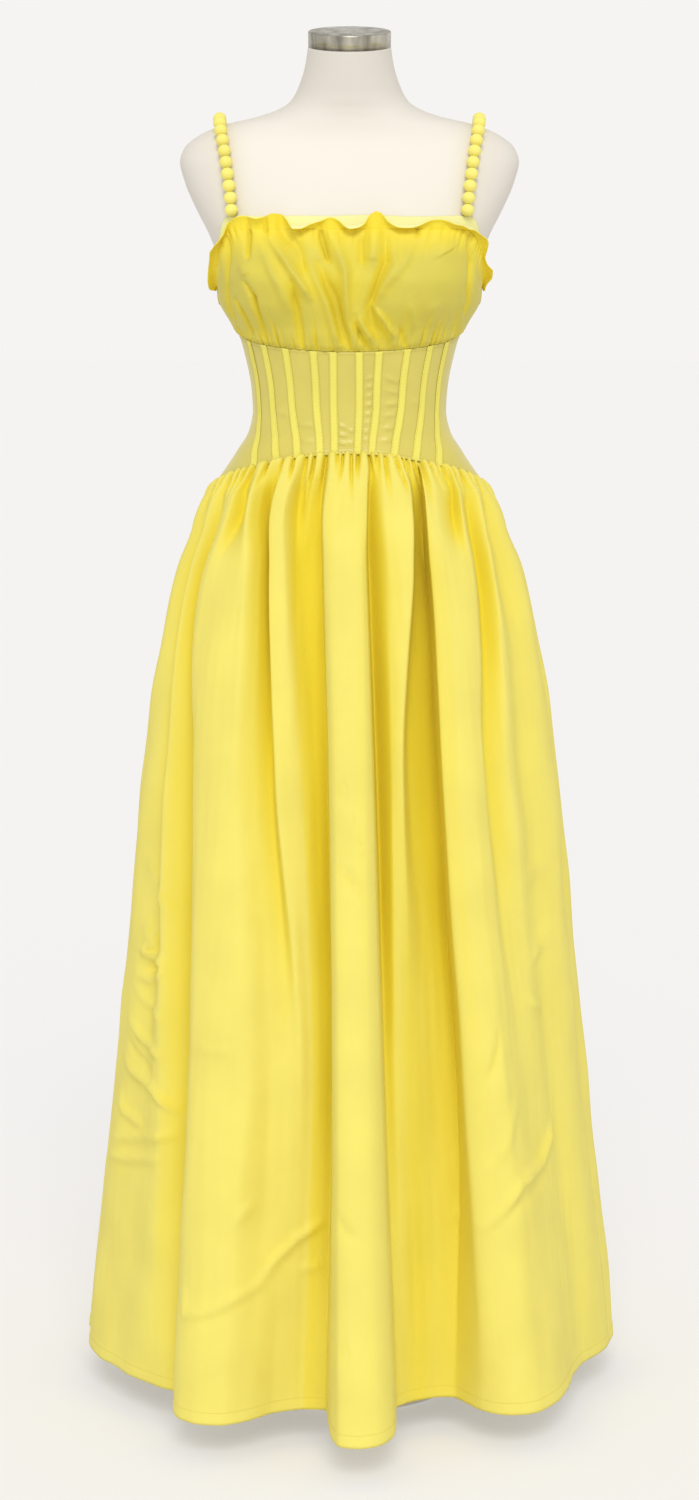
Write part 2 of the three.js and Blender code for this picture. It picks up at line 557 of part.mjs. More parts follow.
// The columns of a midriff panel: both edges of every casing and the middle of every gap.
function midriffColumns(bones, centre, down) {
  const lines = bones.flatMap((_, i) => [2 * i, 2 * i + 1])
    .map((index) => boneAround(bones, centre, index, down)).sort((a, b) => a - b);
  const edges = lines.flatMap((around) => {
    const half = tapeHalf(around, midriffHeight(around, down));
    return [around - half, around + half];
  });
  const start = centre > 90 ? SIDE : -SIDE;
  const stops = [start];
  const fill = (to, parts) => {
    const from = stops[stops.length - 1];
    for (let part = 1; part < parts; part += 1) stops.push(from + ((to - from) * part) / parts);
    stops.push(to);
  };
  edges.forEach((edge, i) => {
    if (i % 2 === 1) stops.push(edge);
    else fill(edge, i === 0 ? SIDE_PARTS : 2);
  });
  fill(start + 2 * SIDE, SIDE_PARTS);
  return stops;
}

function buildMidriff(end, bones, centre) {
  const stepDown = (j) => j / (MIDRIFF_ROWS - 1);
  const rows = Array.from({ length: MIDRIFF_ROWS }, (_, j) =>
    midriffColumns(bones, centre, stepDown(j)));
  const place = (i, j, more) => {
    const z = midriffHeight(rows[j][i], stepDown(j));
    return raise(bodicePoint(rows[j][i], z, more), z);
  };
  const layer = (more) => grid(rows[0].length, MIDRIFF_ROWS, (i, j) => place(i, j, more));
  const outer = layer(0);
  const inner = layer(-CLOTH);
  const under = layer(GAP);
  const over = layer(GAP + TAPE);
  parted(outer, inner);
  add(`midriff_${end}`, wallGeometry(outer, inner), COLOURS.midriff, 0.35);
  for (let bone = 0; bone < bones.length * 2; bone += 1) {
    const left = SIDE_PARTS + 3 * bone;
    const strip = wallGeometry(over.slice(left, left + 2), under.slice(left, left + 2));
    add(`boning_${end}_${String(bone + 1).padStart(2, '0')}`, strip, COLOURS.tape, 0.5);
  }
}

// ---- the bust ----
function drapeAt(around, down) {
  return BUST_FOLDS.reduce((sum, fold) => {
    const [startAround, startDown] = fold.from;
    const [endAround, endDown] = fold.to;
    const along = (down - startDown) / (endDown - startDown);
    const middle = startAround + (endAround - startAround) * along;
    const across = Math.exp(-(((around - middle) / fold.wide) ** 2));
    const fade = ease01((along + 0.25) / 0.25) * ease01((1.25 - along) / 0.25);
    return sum + fold.out * across * fade;
  }, 0);
}

function bustPanel(columns, rows, start, gather) {
  const outer = grid(columns, rows, (i, j) => {
    const around = start + (2 * SIDE * i) / (columns - 1);
    const down = j / (rows - 1);
    const top = neckline('z', around) - GAP / 2;
    const bottom = underbustAt(around) + GAP / 2;
    const z = top + (bottom - top) * down;
    const inside = i > 0 && i < columns - 1;
    const tuck = inside ? gather * (i % 2 === 0 ? 1 : -1) : 0;
    const edges = Math.max(1 - down / 0.3, (down - 0.6) / 0.4, 0);
    const held = ease01(down / 0.12) * ease01((1 - down) / 0.1);
    const drape = start < 0 ? drapeAt(around, down) * (0.25 + 0.75 * held) : 0;
    const closest = CLOTH + BUST.clear - lookUp(EASE, 'z', 'out', z);
    return raise(bodicePoint(around, z, Math.max(closest, tuck * edges + drape)), z);
  });
  const inner = thicken(outer, CLOTH);
  parted(outer, inner);
  return wallGeometry(outer, inner);
}

function buildBust() {
  const { frontColumns, backColumns, rows, backRows, gather, backGather } = BUST;
  add('bust_front', bustPanel(frontColumns + 1, rows, -SIDE, gather), COLOURS.bust);
  add('bust_back', bustPanel(backColumns + 1, backRows, SIDE, backGather), COLOURS.bust);
}

// ---- the inner band and the frill ----
function buildBand(end, start, columns) {
  const layer = (off) => grid(columns + 1, 3, (i, j) => {
    const around = start + (2 * SIDE * i) / columns;
    const stitch = neckline('z', around);
    const z = stitch + BAND.above - ((BAND.above + BAND.below) * j) / 2;
    const standing = off - lookUp(EASE, 'z', 'out', z);
    return raise(bodicePoint(around, z, standing), z);
  });
  const outer = layer(BAND.off + TAPE);
  const inner = layer(BAND.off);
  parted(outer, inner);
  add(`top_band_${end}`, wallGeometry(outer, inner), COLOURS.band);
}

function buildFrill(end, start, waves) {
  const columns = waves * FRILL.stepsPerWave;
  const rise = [1, 0.5, 0];
  const outer = grid(columns + 1, rise.length, (i, j) => {
    const around = start + (2 * SIDE * i) / columns;
    const phase = (2 * Math.PI * i) / FRILL.stepsPerWave;
    const stitch = neckline('z', around) + GAP / 2;
    const pointAt = (at) => bodicePoint(at, stitch);
    const outward = outwardAt(pointAt, around);
    const turn = neckline('turn', around);
    const inside = i > 0 && i < columns ? 1 : 0;
    const high = (neckline('frill', around) + FRILL.rise * Math.sin(phase * 0.5)) * rise[j];
    const sway = inside * FRILL.deep * Math.sin(phase) * rise[j];
    const away = turn * high + sway;
    const up = Math.sqrt(Math.max(0, 1 - turn * turn)) * high;
    return raise(pointAt(around).addScaledVector(outward, away), stitch + up);
  });
  const inner = thicken(outer, CLOTH);
  parted(outer, inner);
  add(`ruffle_${end}`, wallGeometry(outer, inner), COLOURS.frill);
}

// ---- the straps ----
// Below 1 inside the form's skin, above 1 outside it.
function formLevel(point) {
  const size = (column) => lookUp(FORM, 'z', column, point.z);
  const depth = size(point.y < 0 ? 'front' : 'back');
  const around = THREE.MathUtils.radToDeg(Math.atan2(point.x / size('half'), -point.y / depth));
  const reach = depth + size('bust') * bustShare(around, BUST_SPREAD.form);
  return (Math.abs(point.x) / size('half')) ** size('blunt')
    + (Math.abs(point.y) / reach) ** size('blunt');
}

// The place on the form's skin that a strap crosses at a turn about its pivot.
function skinPoint(side, turn) {
  const x = side * lookUp(STRAP, 'turn', 'apart', turn);
  const at = (reach) => new THREE.Vector3(
    x, STRAP_PIVOT.y + Math.sin(rad(turn)) * reach, STRAP_PIVOT.z + Math.cos(rad(turn)) * reach);
  let near = 0;
  let far = 260;
  for (let step = 0; step < 40; step += 1) {
    const middle = (near + far) / 2;
    if (formLevel(at(middle)) < 1) near = middle;
    else far = middle;
  }
  return at(near);
}

function skinOutward(point) {
  const step = 0.5;
  const slope = (axis) => {
    const ahead = point.clone().setComponent(axis, point.getComponent(axis) + step);
    const behind = point.clone().setComponent(axis, point.getComponent(axis) - step);
    return formLevel(ahead) - formLevel(behind);
  };
  return new THREE.Vector3(slope(0), slope(1), slope(2)).normalize();
}

// The turn at which the strap's line passes a height, between two turns.
function turnAtHeight(side, inner, outer, height) {
  let high = inner;
  let low = outer;
  for (let step = 0; step < 30; step += 1) {
    const middle = (high + low) / 2;
    if (skinPoint(side, middle).z > height) high = middle;
    else low = middle;
  }
  return high;
}

// The strap's middle line, from the band's top in front over the shoulder to the one behind.
function strapCurve(side) {
  const bandTop = (around) => neckline('z', around) + BAND.above + GAP;
  const first = turnAtHeight(side, -60, -130, bandTop(STRAP_FEET.front));
  const last = turnAtHeight(side, 60, 150, bandTop(STRAP_FEET.back));
  const stops = 36;
  const points = Array.from({ length: stops + 1 }, (_, i) => {
    const skin = skinPoint(side, first + ((last - first) * i) / stops);
    return skin.addScaledVector(skinOutward(skin), BEAD.diameter / 2 + BEAD.lift);
  });
  return new THREE.CatmullRomCurve3(points);
}

// A string of beads in one piece: each bead is two wide rings between two narrow ones.
function buildStrap(name, side) {
  const curve = strapCurve(side);
  const beads = Math.round(curve.getLength() / BEAD.pitch);
  const wide = (BEAD.diameter / 2) * BEAD.fullness;
  const stations = [{ at: 0, radius: BEAD.neck }];
  for (let bead = 0; bead < beads; bead += 1) {
    stations.push({ at: (bead + 0.27) / beads, radius: wide });
    stations.push({ at: (bead + 0.73) / beads, radius: wide });
    stations.push({ at: (bead + 1) / beads, radius: BEAD.neck });
  }
  const across = new THREE.Vector3(side, 0, 0);
  const rings = stations.map(({ at, radius }) => {
    const centre = curve.getPointAt(at);
    const along = curve.getTangentAt(at);
    const first = across.clone().addScaledVector(along, -across.dot(along)).normalize();
    const second = along.clone().cross(first);
    return Array.from({ length: BEAD.sides }, (_, i) => {
      const turn = (2 * Math.PI * (i + 0.5)) / BEAD.sides;
      return centre.clone().addScaledVector(first, radius * Math.cos(turn))
        .addScaledVector(second, radius * Math.sin(turn));
    });
  });
  add(name, stackGeometry(rings), COLOURS.beads, 0.5);
}

buildForm();
buildCap();
buildStand();
buildSkirt('skirt_front', FRONT_FOLDS);
buildSkirt('skirt_back', BACK_FOLDS);
buildMidriff('front', FRONT_BONES, FRONT_TURN);
buildMidriff('back', BACK_BONES, 180);
buildBust();
buildBand('front', -SIDE, 36);
buildBand('back', SIDE, 24);
buildFrill('front', -SIDE, FRILL.waves);
buildFrill('back', SIDE, FRILL.backWaves);
buildStrap('strap_left', -1);
buildStrap('strap_right', 1);

export default dress;
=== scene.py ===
"""A yellow maxi dress on a white limbless dress form.

The dress has a draped bust with a frill, a boned satin midriff, straps of covered beads and a
gathered skirt. Lengths are in millimetres until a mesh is made, and "around" is an angle in
degrees: 0 at the centre front, 90 at the +X side, 180 at the centre back.
"""

import math

import bpy
import numpy as np
from mathutils import Matrix, Vector


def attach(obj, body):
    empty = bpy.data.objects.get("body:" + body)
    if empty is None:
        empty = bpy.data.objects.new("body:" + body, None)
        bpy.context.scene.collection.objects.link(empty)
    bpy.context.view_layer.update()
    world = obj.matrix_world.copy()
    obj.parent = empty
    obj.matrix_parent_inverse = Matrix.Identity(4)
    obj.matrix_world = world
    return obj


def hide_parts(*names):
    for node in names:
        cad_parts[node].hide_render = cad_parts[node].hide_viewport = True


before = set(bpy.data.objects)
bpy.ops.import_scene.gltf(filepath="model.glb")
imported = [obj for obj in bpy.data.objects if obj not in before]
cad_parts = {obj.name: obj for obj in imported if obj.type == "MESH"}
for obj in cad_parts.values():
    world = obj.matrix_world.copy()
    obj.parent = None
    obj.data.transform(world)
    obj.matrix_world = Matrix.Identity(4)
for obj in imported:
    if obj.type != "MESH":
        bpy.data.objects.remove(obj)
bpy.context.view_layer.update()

MM = 0.001  # metres in a millimetre

# ---- driving dimensions ----
CLOTH = 1.3
GAP = 0.3
SIDE = 90
HEM = 41.5
WAIST = {"front": 1120, "side": 1073, "back": 1100}
UNDERBUST = {"front": 1234, "side": 1257, "back": 1250}
FORM_BOTTOM = 840
NECK_START = 1508
NECK_TOP = 1580
NECK_LEAN = 11.3
CAP_RADIUS = 47.5
CAP_HEIGHT = 17
FOOT_RADIUS = 130
FOOT_HEIGHT = 12
COLLAR_RADIUS = 24
COLLAR_TOP = 38
POLE_RADIUS = 12.5
BEAD_DIAMETER = 15.2
BEAD_PITCH = 14
TAPE_WIDTH = 9
TAPE_THICKNESS = 1.2
FRONT_TURN = -1.8


# ---- tables ----
def table(columns, *rows):
    """Rows with named columns."""
    return [dict(zip(columns.split(), row)) for row in rows]


# The form: half width, depth before and behind the middle, bust stand-out, bluntness.
FORM = table(
    "z half front back bust blunt",
    (840, 151, 92, 118, 0, 2.3), (850, 160, 95, 121, 0, 2.3),
    (900, 168, 98, 122, 0, 2.3), (960, 167, 98, 122, 0, 2.3),
    (1020, 160, 98, 118, 0, 2.3), (1073, 148, 95, 105, 0, 2.3),
    (1117, 127, 90, 90, 0, 2.3), (1142, 113, 87, 82, 0, 2.3),
    (1165, 108.5, 86, 79, 0, 2.3), (1190, 110, 88, 80, 0, 2.3),
    (1232, 118, 94, 86, 0, 2.3), (1257, 125, 99, 90, 4, 2.3),
    (1290, 140, 100, 95, 20, 2.3), (1310, 144, 100, 98, 24, 2.3),
    (1335, 150, 96, 99, 17, 2.3), (1365, 161, 88, 98, 8, 2.4),
    (1395, 176, 79, 95, 2, 2.5), (1425, 189, 70, 88, 0, 2.6),
    (1450, 195, 60, 78, 0, 2.7), (1465, 190, 54, 70, 0, 2.6),
    (1480, 172, 50, 65, 0, 2.4), (1492, 143, 48, 62, 0, 2.2),
    (1500, 108, 47, 60, 0, 2.1), (1508, 84, 47, 58, 0, 2),
    (1518, 68, 48, 55, 0, 2), (1536, 58, 48, 50, 0, 2),
    (1558, 51, 48, 47, 0, 2), (1580, 47.5, 47.5, 47.5, 0, 2),
)
BUST_AROUND = 38
SPREAD_FORM = 20
SPREAD_DRESS = 30

# How far the bodice stands off the form.
EASE = table(
    "z out",
    (1040, 20), (1073, 14), (1090, 9), (1117, 5), (1142, 4),
    (1212, 3.8), (1257, 4.5), (1290, 7), (1335, 9), (1372, 8.5),
    (1400, 8.5),
)

# The skirt without its folds.
SKIRT = table(
    "z half front back",
    (41.5, 315, 270, 288), (94, 311.4, 266, 284), (219, 298, 256, 272),
    (342, 284, 246, 260), (465, 271, 234, 246), (586, 258, 220, 232),
    (706, 246, 205, 216), (825, 230.3, 187, 197), (885, 219.5, 176, 184),
    (944, 208, 163, 170), (991, 196, 150, 158), (1037, 179, 135, 145),
    (1073, 163, 120, 130), (1090, 151.5, 112, 118), (1120, 131, 98, 94),
)

# The skirt's ridges and hollows. "around" and "out" are taken at parts of the way down.
FOLD_LEVELS = [0.05, 0.11, 0.33, 0.66, 1]
FRONT_FOLDS = [
    # around at each level, out at each level
    ((-90, -90, -90, -90, -90), (0, 0, 0, 0, 0)),  # seam at -X
    ((-79, -79, -77, -75, -78), (4, 5, 4, -2, -9)),  # side ridge
    ((-71, -70, -63, -62, -68), (-5, -8, -8, -12, -20)),  # side crease
    ((-64, -65, -60, -54, -51.5), (5, 4, 4, -5, -21)),  # narrow ridge
    ((-58, -59, -50, -44.5, -41), (-6, -13, -26, -32, -25)),  # side hollow
    ((-53, -55, -44.5, -39, -37), (6, 8, 13, 16, 21)),  # broad ridge edge
    ((-49.5, -51, -41, -36, -32), (8, 12, 18, 28, 49)),  # broad ridge shoulder
    ((-45, -46, -36, -31, -28), (-9, 12, 20, 32, 56)),  # broad ridge top
    ((-40, -35.5, -31, -23.5, -24), (12, 16, 17, 26, 50)),  # broad ridge far side
    ((-37, -31.5, -26.5, -18.5, -20), (0, 0, 2, 2, 26)),  # hollow brow
    ((-33.5, -28.5, -22.5, -14.5, -16.5), (-21, -24, -15, -5, -6)),  # deep hollow
    ((-30, -26.5, -19.5, -12, -13), (8, 9, 7, -9, -21)),  # second ridge edge
    ((-25.5, -22, -15.5, -10, -11), (7, 6, 1, -16, -27)),  # second ridge
    ((-21, -19, -12, -8, -9), (-24, -14, -10, -22, -29)),  # slanting hollow
    ((-17, -16, -9.5, -6.5, -7.5), (-16, -22, -20, -27, -29)),  # short ridge
    ((-12, -10.5, -6.5, -4.5, -5.5), (-22, -28, -28, -33, -29)),  # hollow before centre
    ((-9.5, -8, -5, -3.5, -3), (8, 14, 23, 36, 68)),  # centre fold edge
    ((-5, -5, -3, -2, -1.5), (10, 20, 36, 56, 93)),  # centre fold left
    ((-1.5, -1, 0, 1, 1), (8, 21, 38, 60, 98.5)),  # centre fold top
    ((2.5, 3, 3, 3.5, 4), (10, 21, 37, 57, 93)),  # centre fold right
    ((6.5, 5, 5.5, 6.5, 7.5), (9, 16, 27, 38, 64)),  # centre fold far edge
    ((8, 7, 8, 9.5, 11), (-13, -20, -24, -31, -34)),  # hollow past centre
    ((13.5, 12.5, 11.5, 12, 13), (5, 6, 2, -27, -42)),  # pleated ridge
    ((23.5, 20, 14, 16, 16.5), (8, 13, 4, -32, -52)),  # pleated ridge edge
    ((26.5, 23.5, 17, 24, 21), (-10, -16, -18, -42, -55)),  # hollow shoulder
    ((31.5, 30, 28.5, 30.5, 26), (-22, -33, -38, -40, -46)),  # deepest hollow
    ((29.5, 26.5, 24.5, 27, 28), (7, 11, 14, 8, 6)),  # right ridge edge
    ((33, 31, 28.5, 31, 31.5), (9, 17, 21, 24, 32)),  # right ridge shoulder
    ((43.5, 37, 32, 35, 36.5), (-8, 15, 23, 29, 40.5)),  # right ridge top
    ((45, 42, 36.5, 39, 43), (8, 13, 17, 21, 29)),  # right ridge far side
    ((52, 51, 42, 46, 52), (-9, -14, -9, 4, 6)),  # right side hollow
    ((56.5, 54.5, 49, 54, 62), (6, 6, 3, -5, -18)),  # right side ridge
    ((64, 63, 59, 62, 70), (-7, -7, -8, -14, -25)),  # right side crease
    ((74, 75, 73, 75, 79), (5, 6, 5, -4, -14)),  # far right ridge
    ((90, 90, 90, 90, 90), (-2, -3, -5, -5, -1)),  # seam at +X
]
BACK_FOLDS = [
    ((90, 90, 90, 90, 90), (-2, -3, -5, -5, -1)),  # seam at +X
    ((98, 98, 99, 100, 101), (4, 7, 9, 10, 12)),  # first ridge
    ((104, 104, 107, 109, 111), (-4, -7, -10, -14, -20)),  # first hollow
    ((110, 110, 113, 115, 117), (4, 2, -2, -8, -14)),  # thin ridge
    ((115, 116, 119, 121, 123), (3, 6, 10, 12, 14)),  # second ridge edge
    ((121, 122, 125, 127, 129), (6, 12, 19, 30, 44)),  # second ridge
    ((127, 128, 130.5, 133, 135), (5, 8, 12, 18, 28)),  # second ridge far side
    ((132, 133, 136, 138.5, 141), (-8, -13, -15, -22, -32)),  # second hollow
    ((137.5, 138.5, 141.5, 144, 146.5), (5, 2, -5, -18, -36)),  # tucked ridge
    ((143, 144, 146.5, 148.5, 151), (-5, -9, -14, -24, -34)),  # tucked hollow
    ((148, 149, 150.5, 152, 154), (5, 8, 14, 20, 30)),  # third ridge edge
    ((153.5, 154.5, 155.5, 156.5, 158), (7, 16, 27, 42, 62)),  # third ridge
    ((159, 160, 160, 161, 162), (5, 9, 15, 26, 40)),  # third ridge far side
    ((164.5, 165, 165.5, 166, 167), (-8, -14, -18, -27, -38)),  # hollow before back
    ((170, 170.5, 171, 172, 173), (6, 4, -4, -16, -32)),  # back pleat
    ((178, 178, 178, 178, 179), (-4, -8, -12, -20, -30)),  # back seam hollow
    ((184, 183.5, 182.5, 183, 183), (5, 8, 14, 20, 30)),  # fourth ridge edge
    ((189, 188.5, 187.5, 188, 188.5), (7, 15, 25, 40, 56)),  # fourth ridge
    ((194.5, 194, 193, 193.5, 194), (5, 9, 13, 20, 32)),  # fourth ridge far side
    ((200, 199.5, 199, 200, 201), (-7, -12, -17, -26, -38)),  # fourth hollow
    ((206, 205.5, 206, 208, 210), (5, 4, -2, -14, -28)),  # soft ridge
    ((212, 211.5, 213, 215, 217), (-6, -10, -13, -20, -26)),  # fifth hollow
    ((217.5, 217.5, 218.5, 220, 221.5), (4, 7, 12, 16, 20)),  # fifth ridge edge
    ((223.5, 223.5, 224.5, 226, 227.5), (7, 13, 21, 34, 50)),  # fifth ridge
    ((229.5, 229.5, 231, 233, 235), (5, 9, 13, 18, 26)),  # fifth ridge far side
    ((236, 236, 238, 240, 242), (-7, -11, -14, -20, -28)),  # sixth hollow
    ((242, 242, 244, 247, 249), (4, 3, 0, -4, -10)),  # sixth ridge edge
    ((249, 249, 251, 254, 256), (5, 8, 10, 12, 14)),  # sixth ridge
    ((257, 257, 258, 261, 263), (-4, -5, -6, -6, -7)),  # last hollow
    ((270, 270, 270, 270, 270), (0, 0, 0, 0, 0)),  # seam at -X
]

# Creases on the skirt: places (around, z), how far out, how wide.
FRONT_CREASES = [
    (((-72, 650), (-65, 634)), 1.6, 4),  # left panel, high
    (((-67, 622), (-59, 616), (-55, 602)), 1.8, 4),  # left panel, high, lower
    (((-70, 572), (-64, 558), (-67, 542)), 2.4, 5),  # left crumple, top
    (((-71, 546), (-64, 538), (-55, 536)), 2.4, 5),  # left crumple, middle
    (((-70, 512), (-63, 510), (-55, 526)), 2.2, 5),  # left crumple, low
    (((-68, 522), (-57, 526)), -2.2, 4),  # left crumple hollow
    (((-71, 502), (-65, 484), (-55, 472)), 1.2, 5),  # left faint
    (((-72, 458), (-65, 440), (-55, 428)), 2.2, 5),  # left diagonal
    (((-75, 442), (-68, 418), (-60, 406)), -1.6, 5),  # left diagonal hollow
    (((-76, 416), (-69, 398), (-56, 386), (-49, 368)), 2.6, 5),  # left long diagonal
    (((-76, 372), (-72, 348), (-64, 340)), 2, 5),  # left low diagonal
    (((-80, 308), (-61, 326), (-49, 338)), 2, 5),  # left level line
    (((-83, 288), (-67, 294), (-53, 308)), 2, 5),  # left level line, lower
    (((-36, 456), (-27, 458)), 0.9, 6),  # broad ridge, faint
    (((-38, 652), (-27, 646)), 0.8, 7),  # broad ridge, high
    (((-23, 266), (-21, 286)), 1.8, 5),  # broad ridge, diagonal
    (((-34, 184), (-33, 158), (-27, 168), (-23, 180), (-19, 194)), 2.2, 5),  # smile
    (((-19, 194), (-16, 220), (-12, 240), (-7, 256)), 2.6, 5),  # smile, rising
    (((-12, 204), (-7, 206)), 1.2, 5),  # level nick
    (((-3, 746), (-1, 756)), -1.6, 5),  # centre dimple 1
    (((-3, 700), (1, 684), (3, 690)), -1.8, 5),  # centre dimple 2
    (((-3, 674), (-1, 664), (2, 644)), -1.8, 5),  # centre dimple 3
    (((-2, 730), (1, 720)), 1.4, 5),  # centre dimple 4
    (((-2, 292), (-1, 276), (1, 266)), -1.6, 5),  # centre low diagonal
    (((-2, 144), (0, 144)), -1.4, 5),  # centre low nick
    (((29, 254), (33, 274), (38, 300), (50, 308), (60, 346)), 3, 6),  # right diagonal
    (((32, 254), (37, 280), (49, 288)), -1.4, 7),  # right diagonal hollow
    (((31, 320), (35, 350), (39, 390)), 1.4, 8),  # right soft
    (((35, 486), (35, 462), (32, 422)), -1.8, 6),  # right slim hollow
    (((49, 498), (58, 482)), 1.8, 6),  # right highlight
    (((53, 632), (66, 648)), 1.8, 8),  # right highlight, high
    (((54, 538), (66, 564)), 1.6, 7),  # right highlight, mid
]
BACK_CREASES = [
    (((180, 1070), (180, 820)), -1.2, 2),  # closing seam
    (((108, 700), (116, 680)), 1.6, 5),
    (((104, 560), (112, 548), (108, 532)), 2.2, 5),
    (((106, 470), (114, 450), (124, 438)), 2, 5),
    (((104, 400), (116, 380), (130, 372)), 2.4, 6),
    (((150, 330), (165, 300), (182, 330), (190, 366)), 2.4, 6),
    (((196, 620), (204, 604)), -1.6, 6),
    (((196, 590), (206, 570), (204, 556)), 1.8, 6),
    (((222, 250), (231, 290), (240, 330)), 2.6, 6),
    (((238, 500), (248, 482)), 1.8, 6),
    (((246, 640), (256, 656)), 1.6, 7),
]

# The gathers: the swell below the waist seam, and the ticks that cut into it.
SWELL_DOWN = [0, 0.003, 0.008, 0.02, 0.05, 0.12, 1]
SWELL_OUT = [0, 4.5, 7.5, 8.5, 6, 1.5, 0]
PUFF_DOWN = [0, 0.002, 0.005, 0.014, 1]  # each puff rolls up over the seam's welt
PUFF_UP = [0, 5.5, 5.5, 0, 0]
CLEAR_DOWN = [0, 0.02, 0.05, 0.09, 0.14, 0.2, 0.27, 1]
CLEAR_IN = [2, 6, 17, 26, 36, 48, 80, 80]  # how far in a hollow may go
FRONT_TICKS = [
    -80, -73, -66, -59.5, -55, -51, -46.5, -39.5, -32, -27, -21, -17, -11.5, -6, -3, 1, 4.5, 9.5,
    13.5, 17.5, 22, 25.5, 28, 31, 34.5, 38.5, 42.5, 45.5, 50.5, 55.5, 61, 67, 73, 80,
]
BACK_TICKS = [
    97, 103, 108, 112, 117, 123, 127, 131, 136, 141, 144, 149, 155, 158, 163, 168, 171, 176,
    181, 185, 190, 193, 198, 203, 207, 212, 215, 220, 226, 230, 235, 240, 246, 251, 257, 263,
]

# The neckline's stitching, and the frill's length above it.
NECKLINE = table(
    "around z frill",
    (0, 1372, 17), (40, 1372, 17), (49, 1370, 16), (55, 1361, 15),
    (62, 1347, 15), (74, 1324, 15), (90, 1305, 15), (110, 1302, 15),
    (145, 1302, 15), (180, 1302, 15),
)
BAND_ABOVE = 15
BAND_BELOW = 12
BAND_OFF = 1.1

# How far the back frill leans out at its free edge, in degrees from upright.
BACK_LEAN = [
    (90, 62), (99, 74), (108, 62), (117, 80), (126, 52), (134, 72), (142, 46), (150, 76),
    (158, 40), (165, 68), (172, 38), (180, 70), (188, 40), (195, 72), (203, 42), (211, 66),
    (219, 48), (228, 78), (237, 54), (246, 80), (254, 60), (262, 72), (270, 62),
]

# The bust's drape: each fold's places (around, part of the way down), how far out, how wide.
BUST_ARC = 2.35  # mm in a degree around
DRAPE_DEPTH = 2.1
BUST_DROP = 135  # mm from the neckline to the underbust seam
BUST_STROKES = [
    (((-39, -0.04), (-41, 0.10), (-43.5, 0.24)), -4, 2.4),  # top left tick
    (((-31.5, -0.06), (-33, 0.04)), -2.5, 2.5),  # second tick
    (((-27, -0.06), (-25.5, 0.06), (-23.5, 0.12)), -5, 5),  # frill droop shadow
    (((-22.5, 0.03), (-20.5, 0.21), (-20, 0.37)), -3.2, 6),  # left upper hollow
    (((-25.5, 0.44), (-24.5, 0.67), (-25.5, 0.95)), -6, 3.4),  # left middle hollow
    (((-46.5, 0.46), (-43.5, 0.58), (-44, 0.73), (-46, 0.92)), -6, 2.6),  # left low slit
    (((-55.5, 0.58), (-54, 0.71), (-54.5, 0.91)), -6, 2.6),  # far left low slit
    (((-51.5, 0.04), (-58, 0.27), (-62, 0.45), (-67, 0.73)), -5, 5),  # armhole hollow left
    # ridge from the hump
    (((-31.5, 0.07), (-28, 0.20), (-25, 0.33), (-22, 0.45), (-19, 0.56)), 4.5, 5),
    (((-36, 0.14), (-33.5, 0.34), (-30.5, 0.49), (-28.5, 0.64)), 2.2, 5),  # soft left ridge
    (((-47, 0.28), (-44, 0.39)), 2, 8),  # left bulge
    (((-12, -0.04), (-11, 0.10), (-9, 0.27)), -5, 2.6),  # centre slit
    (((-13, 0.29), (-10, 0.46), (-6.5, 0.59), (-4, 0.76), (-1, 0.94)), -7, 6.5),  # centre hollow
    # ridge left of centre hollow
    (((-17.5, 0.28), (-14.5, 0.44), (-11, 0.60), (-8, 0.81), (-6, 0.94)), 3.4, 5),
    # centre ridge
    (((-8.5, -0.02), (-5, 0.17), (-2, 0.35), (-2, 0.57), (-1.5, 0.76), (2, 0.93)), 4.5, 6),
    (((5, 0.03), (5, 0.17), (5.5, 0.29)), -2.6, 4),  # saturated hollow
    (((9, -0.06), (10, 0.14), (10, 0.27)), 3.2, 7),  # wide pleat
    # right groove
    (((14, 0.04), (15.5, 0.27), (12.5, 0.46), (9.5, 0.62), (11.5, 0.78),
      (16, 0.88), (20.5, 0.99)), -4.8, 4.5),
    (((17.5, 0.10), (19.5, 0.29), (16, 0.45), (13, 0.58)), 3.2, 5),  # right of groove ridge
    (((10.5, 0.62), (15, 0.72), (21.5, 0.88)), 3.6, 3),  # low diagonal ridge
    (((4, 0.68), (6.5, 0.79), (11.5, 0.91)), 3.2, 4.5),  # low centre ridge
    (((3.5, 0.78), (6.5, 0.89), (10.5, 0.99)), -4.5, 2.4),  # low slit
    (((25.5, 0.82), (29, 0.98)), -4, 2.4),  # low right slit
    (((25.5, -0.03), (27, 0.06)), -2.4, 2.4),  # right tick
    (((35, 0.08), (40.5, 0.20)), 3, 12),  # right bulge
    (((25, 0.08), (23.5, 0.28), (19, 0.43)), 2, 5),  # right soft ridge
    (((49.5, 0.04), (56, 0.21), (58.5, 0.47), (62.5, 0.68)), -4.5, 4.5),  # right armhole hollow
    (((36.5, 0.59), (42.5, 0.81)), 1.5, 8),  # right low bulge
    (((26.5, 0.58), (31.5, 0.84)), 1.6, 4),  # right low ridge
    (((53, 0.59), (60.5, 0.88)), -2, 4),  # far right hollow
]
BACK_STROKES = [
    (((180, -0.1), (180, 1.1)), -1.4, 1.2),  # closing seam
    (((110, -0.1), (112, 0.5)), -2.5, 4),
    (((131, 0.4), (129, 1.0)), -2.5, 4),
    (((150, -0.1), (152, 0.6)), -3, 4),
    (((168, 0.3), (166, 1.0)), -2.5, 4),
    (((197, -0.1), (195, 0.7)), -3, 5),
    (((215, 0.3), (218, 1.0)), -2.5, 4),
    (((236, -0.1), (234, 0.5)), -2.5, 4),
    (((251, 0.4), (253, 1.0)), -2.5, 4),
]

